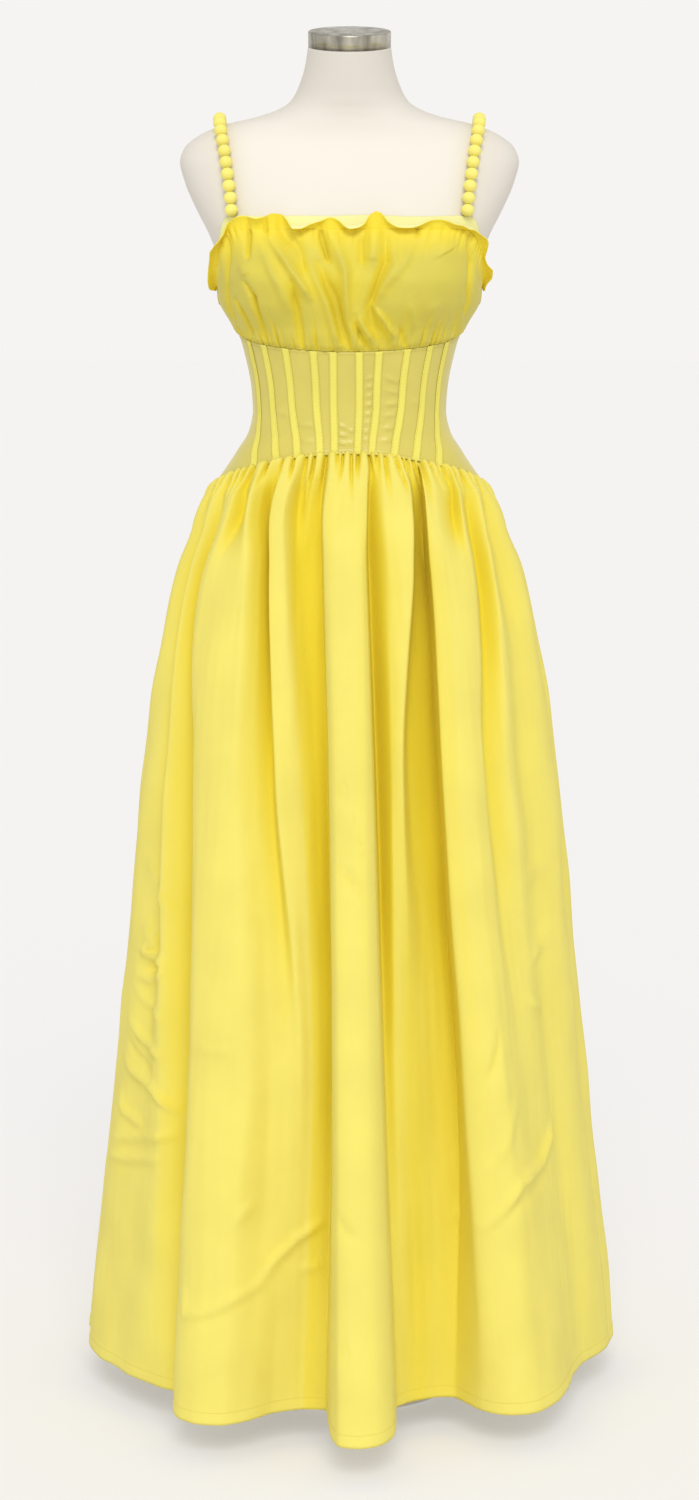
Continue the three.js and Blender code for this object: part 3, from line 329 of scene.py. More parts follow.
# The frill's free edge: around, how far above the stitching, how far out.
FRILL_EDGE = [
    (-90, 0, 3.75), (-86, -1, 9.5), (-79, 1, 9), (-73, 6, 8.5), (-68, 6, 8), (-63, 3, 9),
    (-58, -2, 9), (-53.5, -5, 9), (-50.5, -3, 8), (-48.5, 9, 5), (-46, 13, 4), (-41.5, 16, 4),
    (-38, 14, 6), (-35.5, 12.5, 8), (-32.5, 15, 5), (-29.5, 19, 2), (-27, 18.5, 2),
    (-24, 10.5, 7), (-21.5, 1, 12), (-19, 1, 12), (-15, 6, 9), (-10.5, 10.5, 4), (-7.5, 14, 2),
    (-4.5, 10.5, 5), (-2, 4, 9), (0, 1, 12), (3, 2, 11), (6, 7, 6), (8.5, 18.5, 2),
    (10.5, 21, 1), (12, 19.5, 3), (14.5, 10, 6), (16.5, 5.5, 8), (19, 2.5, 10), (22, 2, 10),
    (25.5, 3.5, 9), (28.5, 7.5, 6), (32, 11, 3), (34.5, 11.5, 3), (37.5, 9.5, 5),
    (40.5, 6, 7), (43.5, 5, 7), (47, 2, 8), (51, 2, 8), (55, 5, 8), (59, 7, 11),
    (62.5, 5, 8), (66, 2, 3.5), (69, 1, 5), (73, 1, 11), (77, 0, 10), (82, 0, 5), (90, 0, 3.75),
]

# The boning casings: degrees from the middle at the top, halfway and the bottom.
FRONT_BONES = [
    (7.1, 7.6, 6), (17.7, 17.6, 13), (33.2, 32.6, 24), (47.3, 46.8, 34.6), (61, 61.5, 47),
]
BACK_BONES = [(9, 9, 7), (27, 27, 22), (46, 46, 38), (66, 66, 57)]
BONES = {"front": (FRONT_BONES, FRONT_TURN), "back": (BACK_BONES, 180)}  # and their middle

# Fine wrinkles across the satin: places (around, part of the way down), out, wide.
SATIN_WRINKLES = {
    "front": [
        (((8, 0.27), (18, 0.23)), 0.9, 2.4),
        (((8, 0.36), (18, 0.31)), 1.1, 2.6),
        (((9, 0.44), (18, 0.41)), 1.2, 2.6),
        (((8, 0.53), (18, 0.49)), 1.3, 2.8),
        (((8, 0.61), (17, 0.60)), 1.1, 2.5),
        (((9, 0.70), (18, 0.66)), 1.3, 2.8),
        (((7, 0.78), (16, 0.77)), 1.2, 2.5),
        (((7, 0.87), (15, 0.83)), 1.1, 2.5),
        (((19, 0.24), (29, 0.30)), 1.0, 3.2),
        (((20, 0.37), (31, 0.40)), 0.9, 3.0),
        (((20, 0.51), (30, 0.49)), 1.1, 3.0),
        (((19, 0.62), (30, 0.59)), 0.9, 2.8),
        (((19, 0.74), (28, 0.71)), 1.1, 3.0),
        (((17, 0.86), (26, 0.83)), 1.0, 2.8),
        (((-9, 0.70), (-2, 0.74)), 0.8, 2.4),
        (((-9, 0.80), (-2, 0.82)), 1.0, 2.2),
        (((-9, 0.88), (-2, 0.90)), 1.0, 2.2),
        (((-1, 0.76), (6, 0.80)), 0.9, 2.3),
        (((-1, 0.88), (5, 0.92)), 0.9, 2.2),
        (((-30, 0.68), (-21, 0.71)), 0.7, 3),
        (((-28, 0.84), (-20, 0.86)), 0.6, 3),
        (((-46, 0.55), (-35, 0.59)), 0.6, 3.6),
        (((36, 0.46), (46, 0.50)), 0.6, 3.6),
    ],
    "back": [
        (((180, -0.1), (180, 1.1)), -0.8, 1),  # closing seam
        (((140, 0.5), (150, 0.53)), 0.7, 2),
        (((176, 0.7), (186, 0.68)), 0.7, 1.8),
        (((200, 0.4), (210, 0.43)), -0.7, 2),
        (((222, 0.7), (232, 0.68)), 0.6, 2),
    ],
}

# The straps: half the distance between them at a turn seen from the side.
STRAP_TURN = [-110, -60, -20, 10, 60, 90, 138]
STRAP_APART = [130, 139, 146, 147, 128, 108, 90]
STRAP_PIVOT_Y = 10
STRAP_PIVOT_Z = 1415
STRAP_FRONT = 48
STRAP_BACK = 145


# ---- curves and sections ----
def curve(xs, ys, x):
    """A smooth curve through (xs, ys) that never overshoots, read at x. xs rises."""
    xs, ys, x = (np.asarray(values, float) for values in (xs, ys, x))
    slope = np.diff(ys) / np.diff(xs)
    before, after = slope[:-1], slope[1:]
    turning = before * after <= 0
    total = np.where(turning, 1, before + after)
    inner = np.where(turning, 0, 2 * before * after / total)
    tangent = np.concatenate([slope[:1], inner, slope[-1:]])
    i = np.clip(np.searchsorted(xs, x) - 1, 0, len(xs) - 2)
    width = xs[i + 1] - xs[i]
    t = np.clip((x - xs[i]) / width, 0, 1)
    rise = t * t * (3 - 2 * t)
    leave = t * (1 - t) ** 2 * width * tangent[i]
    arrive = t * t * (t - 1) * width * tangent[i + 1]
    return ys[i] * (1 - rise) + ys[i + 1] * rise + leave + arrive


def look_up(table, by, column, at):
    return curve([row[by] for row in table], [row[column] for row in table], at)


def ease(x):
    x = np.clip(x, 0, 1)
    return x * x * (3 - 2 * x)


def folded(around):
    """The same place around, as -180 to 180."""
    return (np.asarray(around, float) + 180) % 360 - 180


def seam_height(heights, around):
    lean = np.cos(np.radians(around))
    middle = np.where(lean > 0, heights["front"], heights["back"])
    return heights["side"] + (middle - heights["side"]) * np.abs(lean)


def neckline(column, around):
    return look_up(NECKLINE, "around", column, np.abs(folded(around)))


def ring(around, half, front, back, blunt):
    s, c = np.sin(np.radians(around)), np.cos(np.radians(around))
    reach = (np.abs(s) ** blunt + np.abs(c) ** blunt) ** (1 / blunt)
    return np.stack([half * s / reach, -np.where(c > 0, front, back) * c / reach], -1)


def off_seam(around, near=6):
    """0 at the side seams and 1 from so many degrees off, so that both panels meet there."""
    return ease(np.abs(np.cos(np.radians(around))) / math.sin(math.radians(near)))


def bust_share(around, spread):
    at = folded(around)
    return sum(np.exp(-(((at - side * BUST_AROUND) / spread) ** 2)) for side in (-1, 1))


def torso(around, z, spread):
    half, front, back, blunt, bust = (
        look_up(FORM, "z", column, z) for column in ("half", "front", "back", "blunt", "bust")
    )
    point = ring(around, half, front, back, blunt)
    point[..., 1] -= bust * bust_share(around, spread)
    return point


def form_section(around, z):
    return torso(around, z, SPREAD_FORM)


def dress_section(around, z):
    return torso(around, z, SPREAD_DRESS)


def outward(section, around, z):
    """The level direction out of a section, which is a function of around and z."""
    step = 0.2
    along = section(around + step, z) - section(around - step, z)
    away = np.stack([along[..., 1], -along[..., 0]], -1)
    return away / np.linalg.norm(away, axis=-1, keepdims=True)


def bodice(around, z, more=0.0):
    """A point of the bodice, which stands off the form by its ease and by more."""
    around, z = np.broadcast_arrays(np.asarray(around, float), np.asarray(z, float))
    off = look_up(EASE, "z", "out", z) + more
    return dress_section(around, z) + outward(dress_section, around, z) * off[..., None]


def uneven(u, v, seed, waves=9):
    """Soft irregular values between about -1 and 1, from sine waves in random directions."""
    random = np.random.default_rng(seed)
    total = 0
    for _ in range(waves):
        turn, phase = random.uniform(0, 2 * math.pi, 2)
        pace = random.uniform(0.6, 1.7) * 2 * math.pi
        total = total + np.sin(pace * (u * math.cos(turn) + v * math.sin(turn)) + phase)
    return total / math.sqrt(waves * 1.4)


# ---- meshes ----
BESIDE_STEPS = (1, 2, 3, 4, 6, 8, 11, 15, 20, 27, 36)  # columns off that may shut a point in


def new_object(name, points, faces, material, uv=None, smooth=True):
    """A mesh object from points in millimetres and groups of faces with equal corner counts."""
    mesh = bpy.data.meshes.new(name)
    mesh.from_pydata([], [], [])
    mesh.vertices.add(len(points))
    mesh.vertices.foreach_set("co", (np.asarray(points) * MM).astype(np.float32).ravel())
    groups = [np.asarray(group, np.int32) for group in faces]
    corners = np.concatenate([group.ravel() for group in groups])
    totals = np.concatenate([np.full(len(group), group.shape[1], np.int32) for group in groups])
    starts = (np.cumsum(totals) - totals).astype(np.int32)
    mesh.loops.add(len(corners))
    mesh.loops.foreach_set("vertex_index", corners)
    mesh.polygons.add(len(totals))
    mesh.polygons.foreach_set("loop_start", starts)
    mesh.polygons.foreach_set("loop_total", totals)
    mesh.polygons.foreach_set("use_smooth", np.full(len(totals), smooth))
    if uv is not None:
        layer = mesh.uv_layers.new(name="UVMap")
        layer.data.foreach_set("uv", np.asarray(uv)[corners].astype(np.float32).ravel())
    mesh.materials.append(material)
    mesh.update(calc_edges=True)
    mesh.validate()
    piece = bpy.data.objects.new(name, mesh)
    bpy.context.scene.collection.objects.link(piece)
    return piece


def grid_faces(columns, rows, start=0, close=False):
    """Quads of a grid whose outside is seen when columns run left to right and rows down."""
    i = np.arange(columns if close else columns - 1)
    j = np.arange(rows - 1)
    i, j = (values.ravel() for values in np.meshgrid(i, j, indexing="ij"))
    after = (i + 1) % columns
    corner = [i * rows + j, i * rows + j + 1, after * rows + j + 1, after * rows + j]
    return start + np.stack(corner, -1)


def grid_normals(points, close=False):
    if close:
        across = np.roll(points, -1, 0) - np.roll(points, 1, 0)
    else:
        across = np.gradient(points, axis=0)
    down = np.gradient(points, axis=1)
    normal = np.cross(down, across)
    return normal / np.maximum(np.linalg.norm(normal, axis=-1, keepdims=True), 1e-9)


def flat_uv(points):
    """Cloth coordinates in metres: the mean width across and the mean length down."""
    across = np.linalg.norm(np.diff(points, axis=0), axis=-1).mean(1)
    down = np.linalg.norm(np.diff(points, axis=1), axis=-1).mean(0)
    u = np.concatenate([[0], np.cumsum(across)]) * MM
    v = np.concatenate([[0], np.cumsum(down)]) * MM
    return np.stack(np.meshgrid(u, -v, indexing="ij"), -1).reshape(-1, 2)


def border(index):
    """A grid's edge, all the way round."""
    return np.concatenate([index[:, 0][::-1], index[0, 1:], index[1:, -1], index[-1, 1:-1][::-1]])


def wall(name, outer, material, thickness=CLOTH, inner_material=None, shut=None):
    """A thin closed wall. Its outer side is a grid with odd counts, its inner one half as fine."""
    columns, rows = outer.shape[:2]
    inner = (outer - grid_normals(outer) * thickness)[::2, ::2]
    count = columns * rows
    index = np.arange(count).reshape(columns, rows)
    inner_index = count + np.arange(inner[..., 0].size).reshape(inner.shape[:2])
    front = grid_faces(columns, rows)
    back = grid_faces(*inner.shape[:2], count)[:, ::-1]
    rim, inner_rim = border(index), border(inner_index)
    first, second, third = rim[::2], rim[1::2], np.roll(rim, -2)[::2]
    after = np.roll(inner_rim, -1)
    quads = np.stack([first, inner_rim, after, second], -1)
    corners = np.stack([second, after, third], -1)
    uv = flat_uv(outer).reshape(columns, rows, 2)
    uv = np.concatenate([uv.reshape(-1, 2), uv[::2, ::2].reshape(-1, 2)])
    points = np.concatenate([outer.reshape(-1, 3), inner.reshape(-1, 3)])
    piece = new_object(name, points, [front, back, quads, corners], material, uv)
    # each point's share of painted shade, which the woven cloth reads
    if shut is not None:
        layer = piece.data.attributes.new("closed_in", "FLOAT", "POINT")
        values = np.concatenate([shut.ravel(), shut[::2, ::2].ravel()])
        layer.data.foreach_set("value", values.astype(np.float32))
    if inner_material:
        piece.data.materials.append(inner_material)
        slots = np.zeros(len(piece.data.polygons), np.int32)
        slots[len(front) : len(front) + len(back)] = 1
        piece.data.polygons.foreach_set("material_index", slots)
    return piece


def closed_in(points, spread=26):
    """How far each point of a pleated grid is shut in by what is beside it, 0 to 1."""
    columns = len(points)
    level = points[..., :2]
    padded = np.pad(level, ((spread, spread), (0, 0), (0, 0)), "reflect", reflect_type="odd")
    weights = np.hanning(2 * spread + 3)[1:-1]
    mean = sum(weight * padded[k : k + columns] for k, weight in enumerate(weights)) / weights.sum()
    along = np.gradient(mean, axis=0)
    along /= np.maximum(np.linalg.norm(along, axis=-1, keepdims=True), 1e-9)
    away = np.stack([along[..., 1], -along[..., 0]], -1)
    total = np.zeros(level.shape[:2])
    for way in (-1, 1):
        highest = np.zeros(level.shape[:2])
        for step in BESIDE_STEPS:
            beside = np.clip(np.arange(columns) + way * step, 0, columns - 1)
            apart = level[beside] - level
            ahead = way * (apart * along).sum(-1)
            rise = (apart * away).sum(-1)
            highest = np.maximum(highest, np.arctan2(rise, np.maximum(ahead, 0.1)))
        total += highest
    return total / math.pi


def raised(flat, z):
    return np.concatenate([flat, np.broadcast_to(z, flat.shape[:-1])[..., None]], -1)


def panel_grid(front, columns, rows):
    """Places around, left to right seen from outside, and parts of the way down."""
    start = -SIDE if front else SIDE
    around = np.linspace(start, start + 2 * SIDE, columns)[:, None]
    down = np.linspace(0, 1, rows)[None, :]
    return np.broadcast_arrays(around, down)


def part_sides(points, front):
    """Puts both end columns half the seam's gap off the side seam."""
    points[[0, -1], :, 1] = (-1 if front else 1) * GAP / 2
    return points


def panel_points(front, around, z, out):
    """Outer points of a panel that stands so far off the bodice."""
    return part_sides(raised(bodice(around, z, out), z), front)


def finish_piece(piece, slot, *nodes):
    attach(piece, "root")
    if nodes:
        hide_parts(*nodes)


def build_panel(name, points, material, slot, held, rests_on, **values):
    """A sheet of the dress, in the place of its solid."""
    piece = wall(name + "_cloth", points, material, **values)
    finish_piece(piece, slot, name)


# ---- materials ----
class Shader:
    """A material's node tree, with short ways to add nodes and link them."""

    def __init__(self, name, colour, roughness, metallic=0.0):
        self.material = bpy.data.materials.new(name)
        self.material.use_nodes = True
        self.tree = self.material.node_tree
        self.tree.nodes.clear()
        self.output = self.tree.nodes.new("ShaderNodeOutputMaterial")
        self.surface = self.tree.nodes.new("ShaderNodeBsdfPrincipled")
        self.tree.links.new(self.surface.outputs["BSDF"], self.output.inputs["Surface"])
        self.set("Base Color", (*colour, 1))
        self.set("Roughness", roughness)
        self.set("Metallic", metallic)

    def set(self, socket, value):
        self.surface.inputs[socket].default_value = value

    def node(self, kind, **values):
        """A node whose values are set by socket name, or by attribute name."""
        made = self.tree.nodes.new(kind)
        for name, value in values.items():
            socket = made.inputs.get(name.replace("_", " "))
            if socket is None:
                setattr(made, name, value)
            elif isinstance(value, bpy.types.NodeSocket):
                self.tree.links.new(value, socket)
            else:
                socket.default_value = value
        return made

    def link(self, source, socket):
        self.tree.links.new(source, self.surface.inputs[socket])

    def coordinates(self, space="Object"):
        return self.node("ShaderNodeTexCoord").outputs[space]

    def noise(self, vector, scale, detail=2.0, stretch=(1, 1, 1)):
        mapped = self.node("ShaderNodeMapping", Vector=vector, Scale=stretch)
        return self.node(
            "ShaderNodeTexNoise", Vector=mapped.outputs["Vector"], Scale=scale, Detail=detail
        ).outputs["Fac"]

    def maths(self, operation, a, b):
        made = self.tree.nodes.new("ShaderNodeMath")
        made.operation = operation
        for socket, value in zip(made.inputs, (a, b)):
            if isinstance(value, bpy.types.NodeSocket):
                self.tree.links.new(value, socket)
            else:
                socket.default_value = value
        return made.outputs["Value"]

    def ramp(self, factor, stops):
        made = self.node("ShaderNodeValToRGB", Fac=factor)
        elements = made.color_ramp.elements
        for element, (position, colour) in zip(elements, (stops[0], stops[-1])):
            element.position = position
            element.color = (*colour, 1)
        for position, colour in stops[1:-1]:
            elements.new(position).color = (*colour, 1)
        return made.outputs["Color"]

    def blend(self, factor, one, other):
        """A colour between one and the other by a factor from 0 to 1."""
        made = self.tree.nodes.new("ShaderNodeMix")
        made.data_type = "RGBA"
        sockets = {socket.identifier: socket for socket in made.inputs}
        for name, value in (("Factor_Float", factor), ("A_Color", one), ("B_Color", other)):
            if isinstance(value, bpy.types.NodeSocket):
                self.tree.links.new(value, sockets[name])
            else:
                sockets[name].default_value = (*value, 1)
        return next(socket for socket in made.outputs if socket.identifier == "Result_Color")

    def spread(self, value, low, high):
        """0 at low, 1 at high, and even between."""
        made = self.node("ShaderNodeMapRange", Value=value, From_Min=low, From_Max=high)
        return made.outputs["Result"]

    def bump(self, height, distance, strength=1.0):
        made = self.node("ShaderNodeBump", Height=height, Distance=distance, Strength=strength)
        self.link(made.outputs["Normal"], "Normal")
        return made


def linear(red, green, blue):
    """A display colour, 0 to 255, as scene-linear values."""
    values = np.array([red, green, blue]) / 255
    bright = ((values + 0.055) / 1.055) ** 2.4
    return tuple(np.where(values <= 0.04045, values / 12.92, bright))


def shaded(colour, share):
    return tuple(min(1.0, channel * share) for channel in colour)


SKIRT_YELLOW = linear(232, 219, 108)
# painted shade laid in the skirt's hollows
SKIRT_PAINTED_SHADE = linear(230, 210, 56)
BUST_YELLOW = linear(209, 196, 80)
# painted shade laid in the bust's hollows
BUST_PAINTED_SHADE = linear(228, 209, 60)
SATIN_YELLOW = linear(208, 195, 92)
TAPE_YELLOW = linear(231, 221, 104)
FRILL_YELLOW = linear(240, 219, 62)
BAND_CREAM = linear(240, 236, 164)
BEAD_YELLOW = linear(240, 229, 122)
THREAD_YELLOW = linear(214, 195, 78)
FORM_WHITE = linear(230, 224, 213)
CAP_METAL = linear(178, 174, 160)
STAND_WHITE = linear(212, 210, 204)
MOTTLE = 0.03  # how far the cloth's tone strays
THREAD_PITCH = 0.0006  # metres
THREAD_RELIEF = 0.00006
PAINTED_SHADE_SPAN = (0.07, 0.55)  # how far shut in the cloth is where its painted shade starts and ends
# the same for the darker painted shade in the deepest hollows
DARK_PAINTED_SHADE_SPAN = (0.6, 1.05)
# painted shade on the form: the spans and shares by which the neck and the sides are darkened
NECK_SHADE_SPAN = (1.47, 1.53)  # heights in metres
NECK_SHADE_SHARE = 0.82
SHOULDER_SHADE_SPAN = (0.11, 0.2)  # distances from the middle in metres
SHOULDER_SHADE_SHARE = 0.84


def woven(name, colour, roughness, gloss=0.15, deep=None, edge=None, darkest_shade=0.9):
    """Plain woven cloth: crossing threads from the cloth's own coordinates, and a soft mottle.

    Where folds close in on it the cloth takes a painted shade, first a deeper tone and then a
    darker one, and it turns to the edge tone at its top.
    """
    shader = Shader(name, colour, roughness)
    place = shader.coordinates("UV")
    split = shader.node("ShaderNodeSeparateXYZ", Vector=place)
    turns = 2 * math.pi / THREAD_PITCH
    warp = shader.maths("SINE", shader.maths("MULTIPLY", split.outputs["X"], turns), 0)
    weft = shader.maths("SINE", shader.maths("MULTIPLY", split.outputs["Y"], turns), 0)
    threads = shader.maths("MULTIPLY", warp, weft)
    slub = shader.noise(place, 90, 3, (1, 6, 1))
    height = shader.maths("ADD", shader.maths("MULTIPLY", threads, 0.5), slub)
    soft = shader.noise(shader.coordinates("Object"), 14, 3)
    tone = shader.ramp(soft, [(0.3, shaded(colour, 1 - MOTTLE)), (0.7, shaded(colour, 1 + MOTTLE))])
    if edge:
        edge_colour, reach = edge
        tone = shader.blend(shader.spread(split.outputs["Y"], -reach, 0), tone, edge_colour)
    # painted shade: the tone deepens, then darkens, as folds shut the cloth in
    if deep:
        closed = shader.node("ShaderNodeAttribute", attribute_name="closed_in").outputs["Fac"]
        tone = shader.blend(shader.spread(closed, *PAINTED_SHADE_SPAN), tone, deep)
        tone = shader.blend(shader.spread(closed, *DARK_PAINTED_SHADE_SPAN), tone, shaded(deep, darkest_shade))
    shader.link(tone, "Base Color")
    shader.bump(height, THREAD_RELIEF)
    shader.set("Sheen Weight", 0.03)
    shader.set("Sheen Roughness", 0.5)
    shader.set("Specular IOR Level", gloss)
    return shader.material


def satin(name, colour):
    """Dull satin: smoother than the woven cloth, with long fine threads down the panel."""
    shader = Shader(name, colour, 0.42)
    place = shader.coordinates("UV")
    threads = shader.noise(place, 500, 2, (1, 0.06, 1))
    soft = shader.noise(shader.coordinates("Object"), 22, 3)
    tone = shader.ramp(soft, [(0.3, shaded(colour, 0.96)), (0.7, shaded(colour, 1.04))])
    shader.link(tone, "Base Color")
    rough = shader.maths("ADD", shader.maths("MULTIPLY", threads, 0.2), 0.28)
    shader.link(rough, "Roughness")
    shader.bump(threads, 0.00004)
    shader.set("Sheen Weight", 0.1)
    shader.set("Specular IOR Level", 0.45)
    return shader.material


def form_covering():
    """Fine matt knit over the form, with painted shade on the neck and towards its sides."""
    shader = Shader("form_covering", FORM_WHITE, 0.6)
    place = shader.coordinates("Object")
    knit = shader.noise(place, 1400, 2)
    soft = shader.noise(place, 5, 2)
    tone = shader.ramp(soft, [(0.3, shaded(FORM_WHITE, 0.98)), (0.7, shaded(FORM_WHITE, 1.0))])
    split = shader.node("ShaderNodeSeparateXYZ", Vector=place)
    side = shader.maths("ABSOLUTE", split.outputs["X"], 0)
    # painted shade: darker up the neck, and darker towards the sides by distance from the middle
    neck = shader.spread(split.outputs["Z"], *NECK_SHADE_SPAN)
    tone = shader.blend(neck, tone, shaded(FORM_WHITE, NECK_SHADE_SHARE))
    shoulder = shader.spread(side, *SHOULDER_SHADE_SPAN)
    tone = shader.blend(shoulder, tone, shaded(FORM_WHITE, SHOULDER_SHADE_SHARE))
    shader.link(tone, "Base Color")
    shader.bump(knit, 0.00005)
    shader.set("Sheen Weight", 0.08)
    shader.set("Specular IOR Level", 0.3)
    return shader.material


def brushed_metal():
    """Nickel brushed round the cap: fine rings in its height, and painted reflections around it as
    uneven light and dark upright streaks.
    """
    shader = Shader("brushed_nickel", CAP_METAL, 0.3, 1.0)
    place = shader.coordinates("Object")
    lines = shader.noise(place, 900, 3, (0.03, 0.03, 1))
    # painted reflections: upright streaks of lighter and darker metal tone
    painted_reflections = shader.noise(place, 70, 3, (1, 1, 0.02))
    tone = shader.ramp(painted_reflections, [(0.35, shaded(CAP_METAL, 0.6)), (0.62, shaded(CAP_METAL, 1.35))])
    shader.link(tone, "Base Color")
    rough = shader.maths("ADD", shader.maths("MULTIPLY", lines, 0.2), 0.2)
    shader.link(rough, "Roughness")
    shader.bump(lines, 0.00003)
    shader.set("Anisotropic", 0.6)
    return shader.material


def powder_coat():
    shader = Shader("powder_coat", STAND_WHITE, 0.45)
    grain = shader.noise(shader.coordinates("Object"), 1800, 2)
    shader.bump(grain, 0.00004)
    return shader.material


# ---- the skirt ----
SKIRT_ARC = 4.6  # mm in a degree around the skirt
CREASE_DEPTH = 2.4
HEM_OUT = 0.8  # the turned-up hem stands out a little
HEM_DOWN = 0.9865  # where it starts
HEM_ROW = -5  # its stitching's row, counted from the edge
SHADE_FADE = 0.3  # how much less painted shade the hollows take at the hem
EVEN_SHARE = 0.25  # how far the gathered folds stray towards even places at the waist
FIRST_DOWN = 0.018  # where the folds start below the gathers
RIDGE_START = 0.75  # how much of a ridge stands there
HOLLOW_START = 0.3
FITTED_DOWN = 0.09  # where the skirt has left the bodice's section
TICK_DEEP = (0.7, 1.2)
TICK_LONG = (0.014, 0.036)
TICK_SLANT = (-60, 60)
TICK_WIDE = (0.7, 1.25)
WIDE_UNEVEN = 1.2  # mm
FINE_UNEVEN = 0.25
FOLD_COLUMNS = 12
# Rows of the mesh: from, to, how many. They are close at the gathers, the creases and the hem.
ROW_SPANS = [(0, 0.03, 14), (0.03, 0.52, 49), (0.52, 0.9, 91), (0.9, 0.975, 10), (0.975, 1, 8)]


def fold_section(folds, down, index):
    """Where each column of a skirt panel runs, and how far out, at a part of the way down."""
    start, count = folds[0][0][0], len(folds) - 1
    around, out = [], []
    for row, (places, reach) in enumerate(folds):
        even = start + 2 * SIDE * row / count
        first = places[0] + EVEN_SHARE * (even - places[0])
        around.append(float(curve([0, *FOLD_LEVELS], [first, *places], down)))
        near = (RIDGE_START if reach[0] > 0 else HOLLOW_START) * reach[0]
        out.append(float(curve([0, FIRST_DOWN, *FOLD_LEVELS], [0, near, *reach], down)))
    rows = np.arange(count + 1)
    return curve(rows, around, index), curve(rows, out, index)


def skirt_section(around, down):
    """The skirt without its folds, at a part of the way down."""
    z = seam_height(WAIST, around)
    z = z + (HEM - z) * down
    size = [look_up(SKIRT, "z", column, z) for column in ("half", "front", "back")]
    flared = ring(around, *size, 2)
    fitted = bodice(around, np.maximum(z, EASE[0]["z"]))
    return fitted + (flared - fitted) * ease(down / FITTED_DOWN)[..., None]


def gather_depth(around, down, ticks, seed):
    """A swell that hangs over the waist seam, cut by an uneven tick at each of its places."""
    random = np.random.default_rng(seed)
    swell = curve(SWELL_DOWN, SWELL_OUT, down) * (0.35 + 0.65 * np.cos(np.radians(around)) ** 2)
    cut = np.zeros_like(around)
    for tick in ticks:
        deep, long, slant, wide = (
            random.uniform(*limits) for limits in (TICK_DEEP, TICK_LONG, TICK_SLANT, TICK_WIDE)
        )
        apart = (around - tick - slant * down) / wide
        cut = cut + deep * np.exp(-np.abs(apart) ** 1.7) * np.exp(-((down / long) ** 2))
    return swell - (swell + 3.5) * cut, np.clip(1 - 1.3 * cut, 0, 1)


def stroke_depth(x, y, strokes, scale):
    """Folds drawn one by one: each runs through places (x, y), so far out and so wide in mm."""
    x, y = x * scale[0], y * scale[1]
    total = np.zeros(np.broadcast(x, y).shape)
    for places, out, wide in strokes:
        places = [(px * scale[0], py * scale[1]) for px, py in places]
        whole = sum(math.dist(one, other) for one, other in zip(places, places[1:]))
        nearest = np.full(total.shape, 1e9)
        along = np.zeros(total.shape)
        run = 0
        for (x0, y0), (x1, y1) in zip(places, places[1:]):
            length = math.dist((x0, y0), (x1, y1))
            part = ((x - x0) * (x1 - x0) + (y - y0) * (y1 - y0)) / length**2
            part = np.clip(part, 0, 1)
            apart = np.hypot(x - x0 - part * (x1 - x0), y - y0 - part * (y1 - y0))
            along = np.where(apart < nearest, run + part * length, along)
            nearest = np.minimum(nearest, apart)
            run += length
        taper = 0.3 + 0.7 * ease(along / whole / 0.4) * ease((1 - along / whole) / 0.2 + 0.3)
        sharp = 1.4 if out < 0 else 2
        total += out * taper * np.exp(-((nearest / wide) ** sharp))
    return total


def skirt_downs():
    """Parts of the way down for the mesh's rows."""
    spans = [np.linspace(start, end, count + 1)[:-1] for start, end, count in ROW_SPANS]
    return np.concatenate([*spans, [1]])


def skirt_grid(folds, ticks, creases, seed):
    columns = FOLD_COLUMNS * (len(folds) - 1) + 1
    index = np.linspace(0, len(folds) - 1, columns)
    downs = skirt_downs()
    points = np.empty((columns, len(downs), 3))
    for j, down in enumerate(downs):
        around, out = fold_section(folds, down, index)
        ends = ease(np.minimum(index, index[-1] - index) / 0.5)
        gather, puff = gather_depth(around, down, ticks, seed)
        out += gather * ends
        deepest = -curve(CLEAR_DOWN, CLEAR_IN, down)
        out = np.where(out > deepest + 1, out, deepest + np.exp(np.minimum(out - deepest - 1, 0)))
        z = seam_height(WAIST, around)
        z = z + (HEM - z) * down

        arc = around * 0.046
        loose = ease(down / 0.12) * off_seam(around)
        out += uneven(arc * 1.1, z * 0.006, seed + 1) * WIDE_UNEVEN * loose
        out += uneven(arc * 5, z * 0.004, seed + 2) * FINE_UNEVEN * loose
        out += HEM_OUT * ease((down - HEM_DOWN) / 0.003)
        crease = CREASE_DEPTH * stroke_depth(around, z, creases, (SKIRT_ARC, 1))
        out += crease * ease((1 - down) / 0.02) * off_seam(around, 3)
        here = np.full_like(around, down)
        away = outward(skirt_section, around, here)
        points[:, j, :2] = skirt_section(around, here) + away * out[:, None]
        points[:, j, 2] = z + curve(PUFF_DOWN, PUFF_UP, down) * puff * ends
        if j == 0:
            points[:, j, 2] -= GAP / 2
    return points


def build_skirt(material, thread):
    for side, folds, ticks, creases, seed in (
        ("front", FRONT_FOLDS, FRONT_TICKS, FRONT_CREASES, 11),
        ("back", BACK_FOLDS, BACK_TICKS, BACK_CREASES, 29),
    ):
        name = f"skirt_{side}"
        points = part_sides(skirt_grid(folds, ticks, creases, seed), side == "front")
        # how much painted shade each point of the skirt takes, less towards the hem
        shut = closed_in(points) * (1 - SHADE_FADE * skirt_downs())
        build_panel(name, points, material, "skirt_cloth", "gathered", f"midriff_{side}", shut=shut)
        build_stitches(name + "_stitches", [grid_row(points, HEM_ROW)], "skirt_cloth", thread)


# ---- the form and its stand ----
FORM_EDGE = 8  # the bevel of its lower edge
CAP_EDGE = 1.2
FOOT_EDGE = 4
COLLAR_EDGE = 2


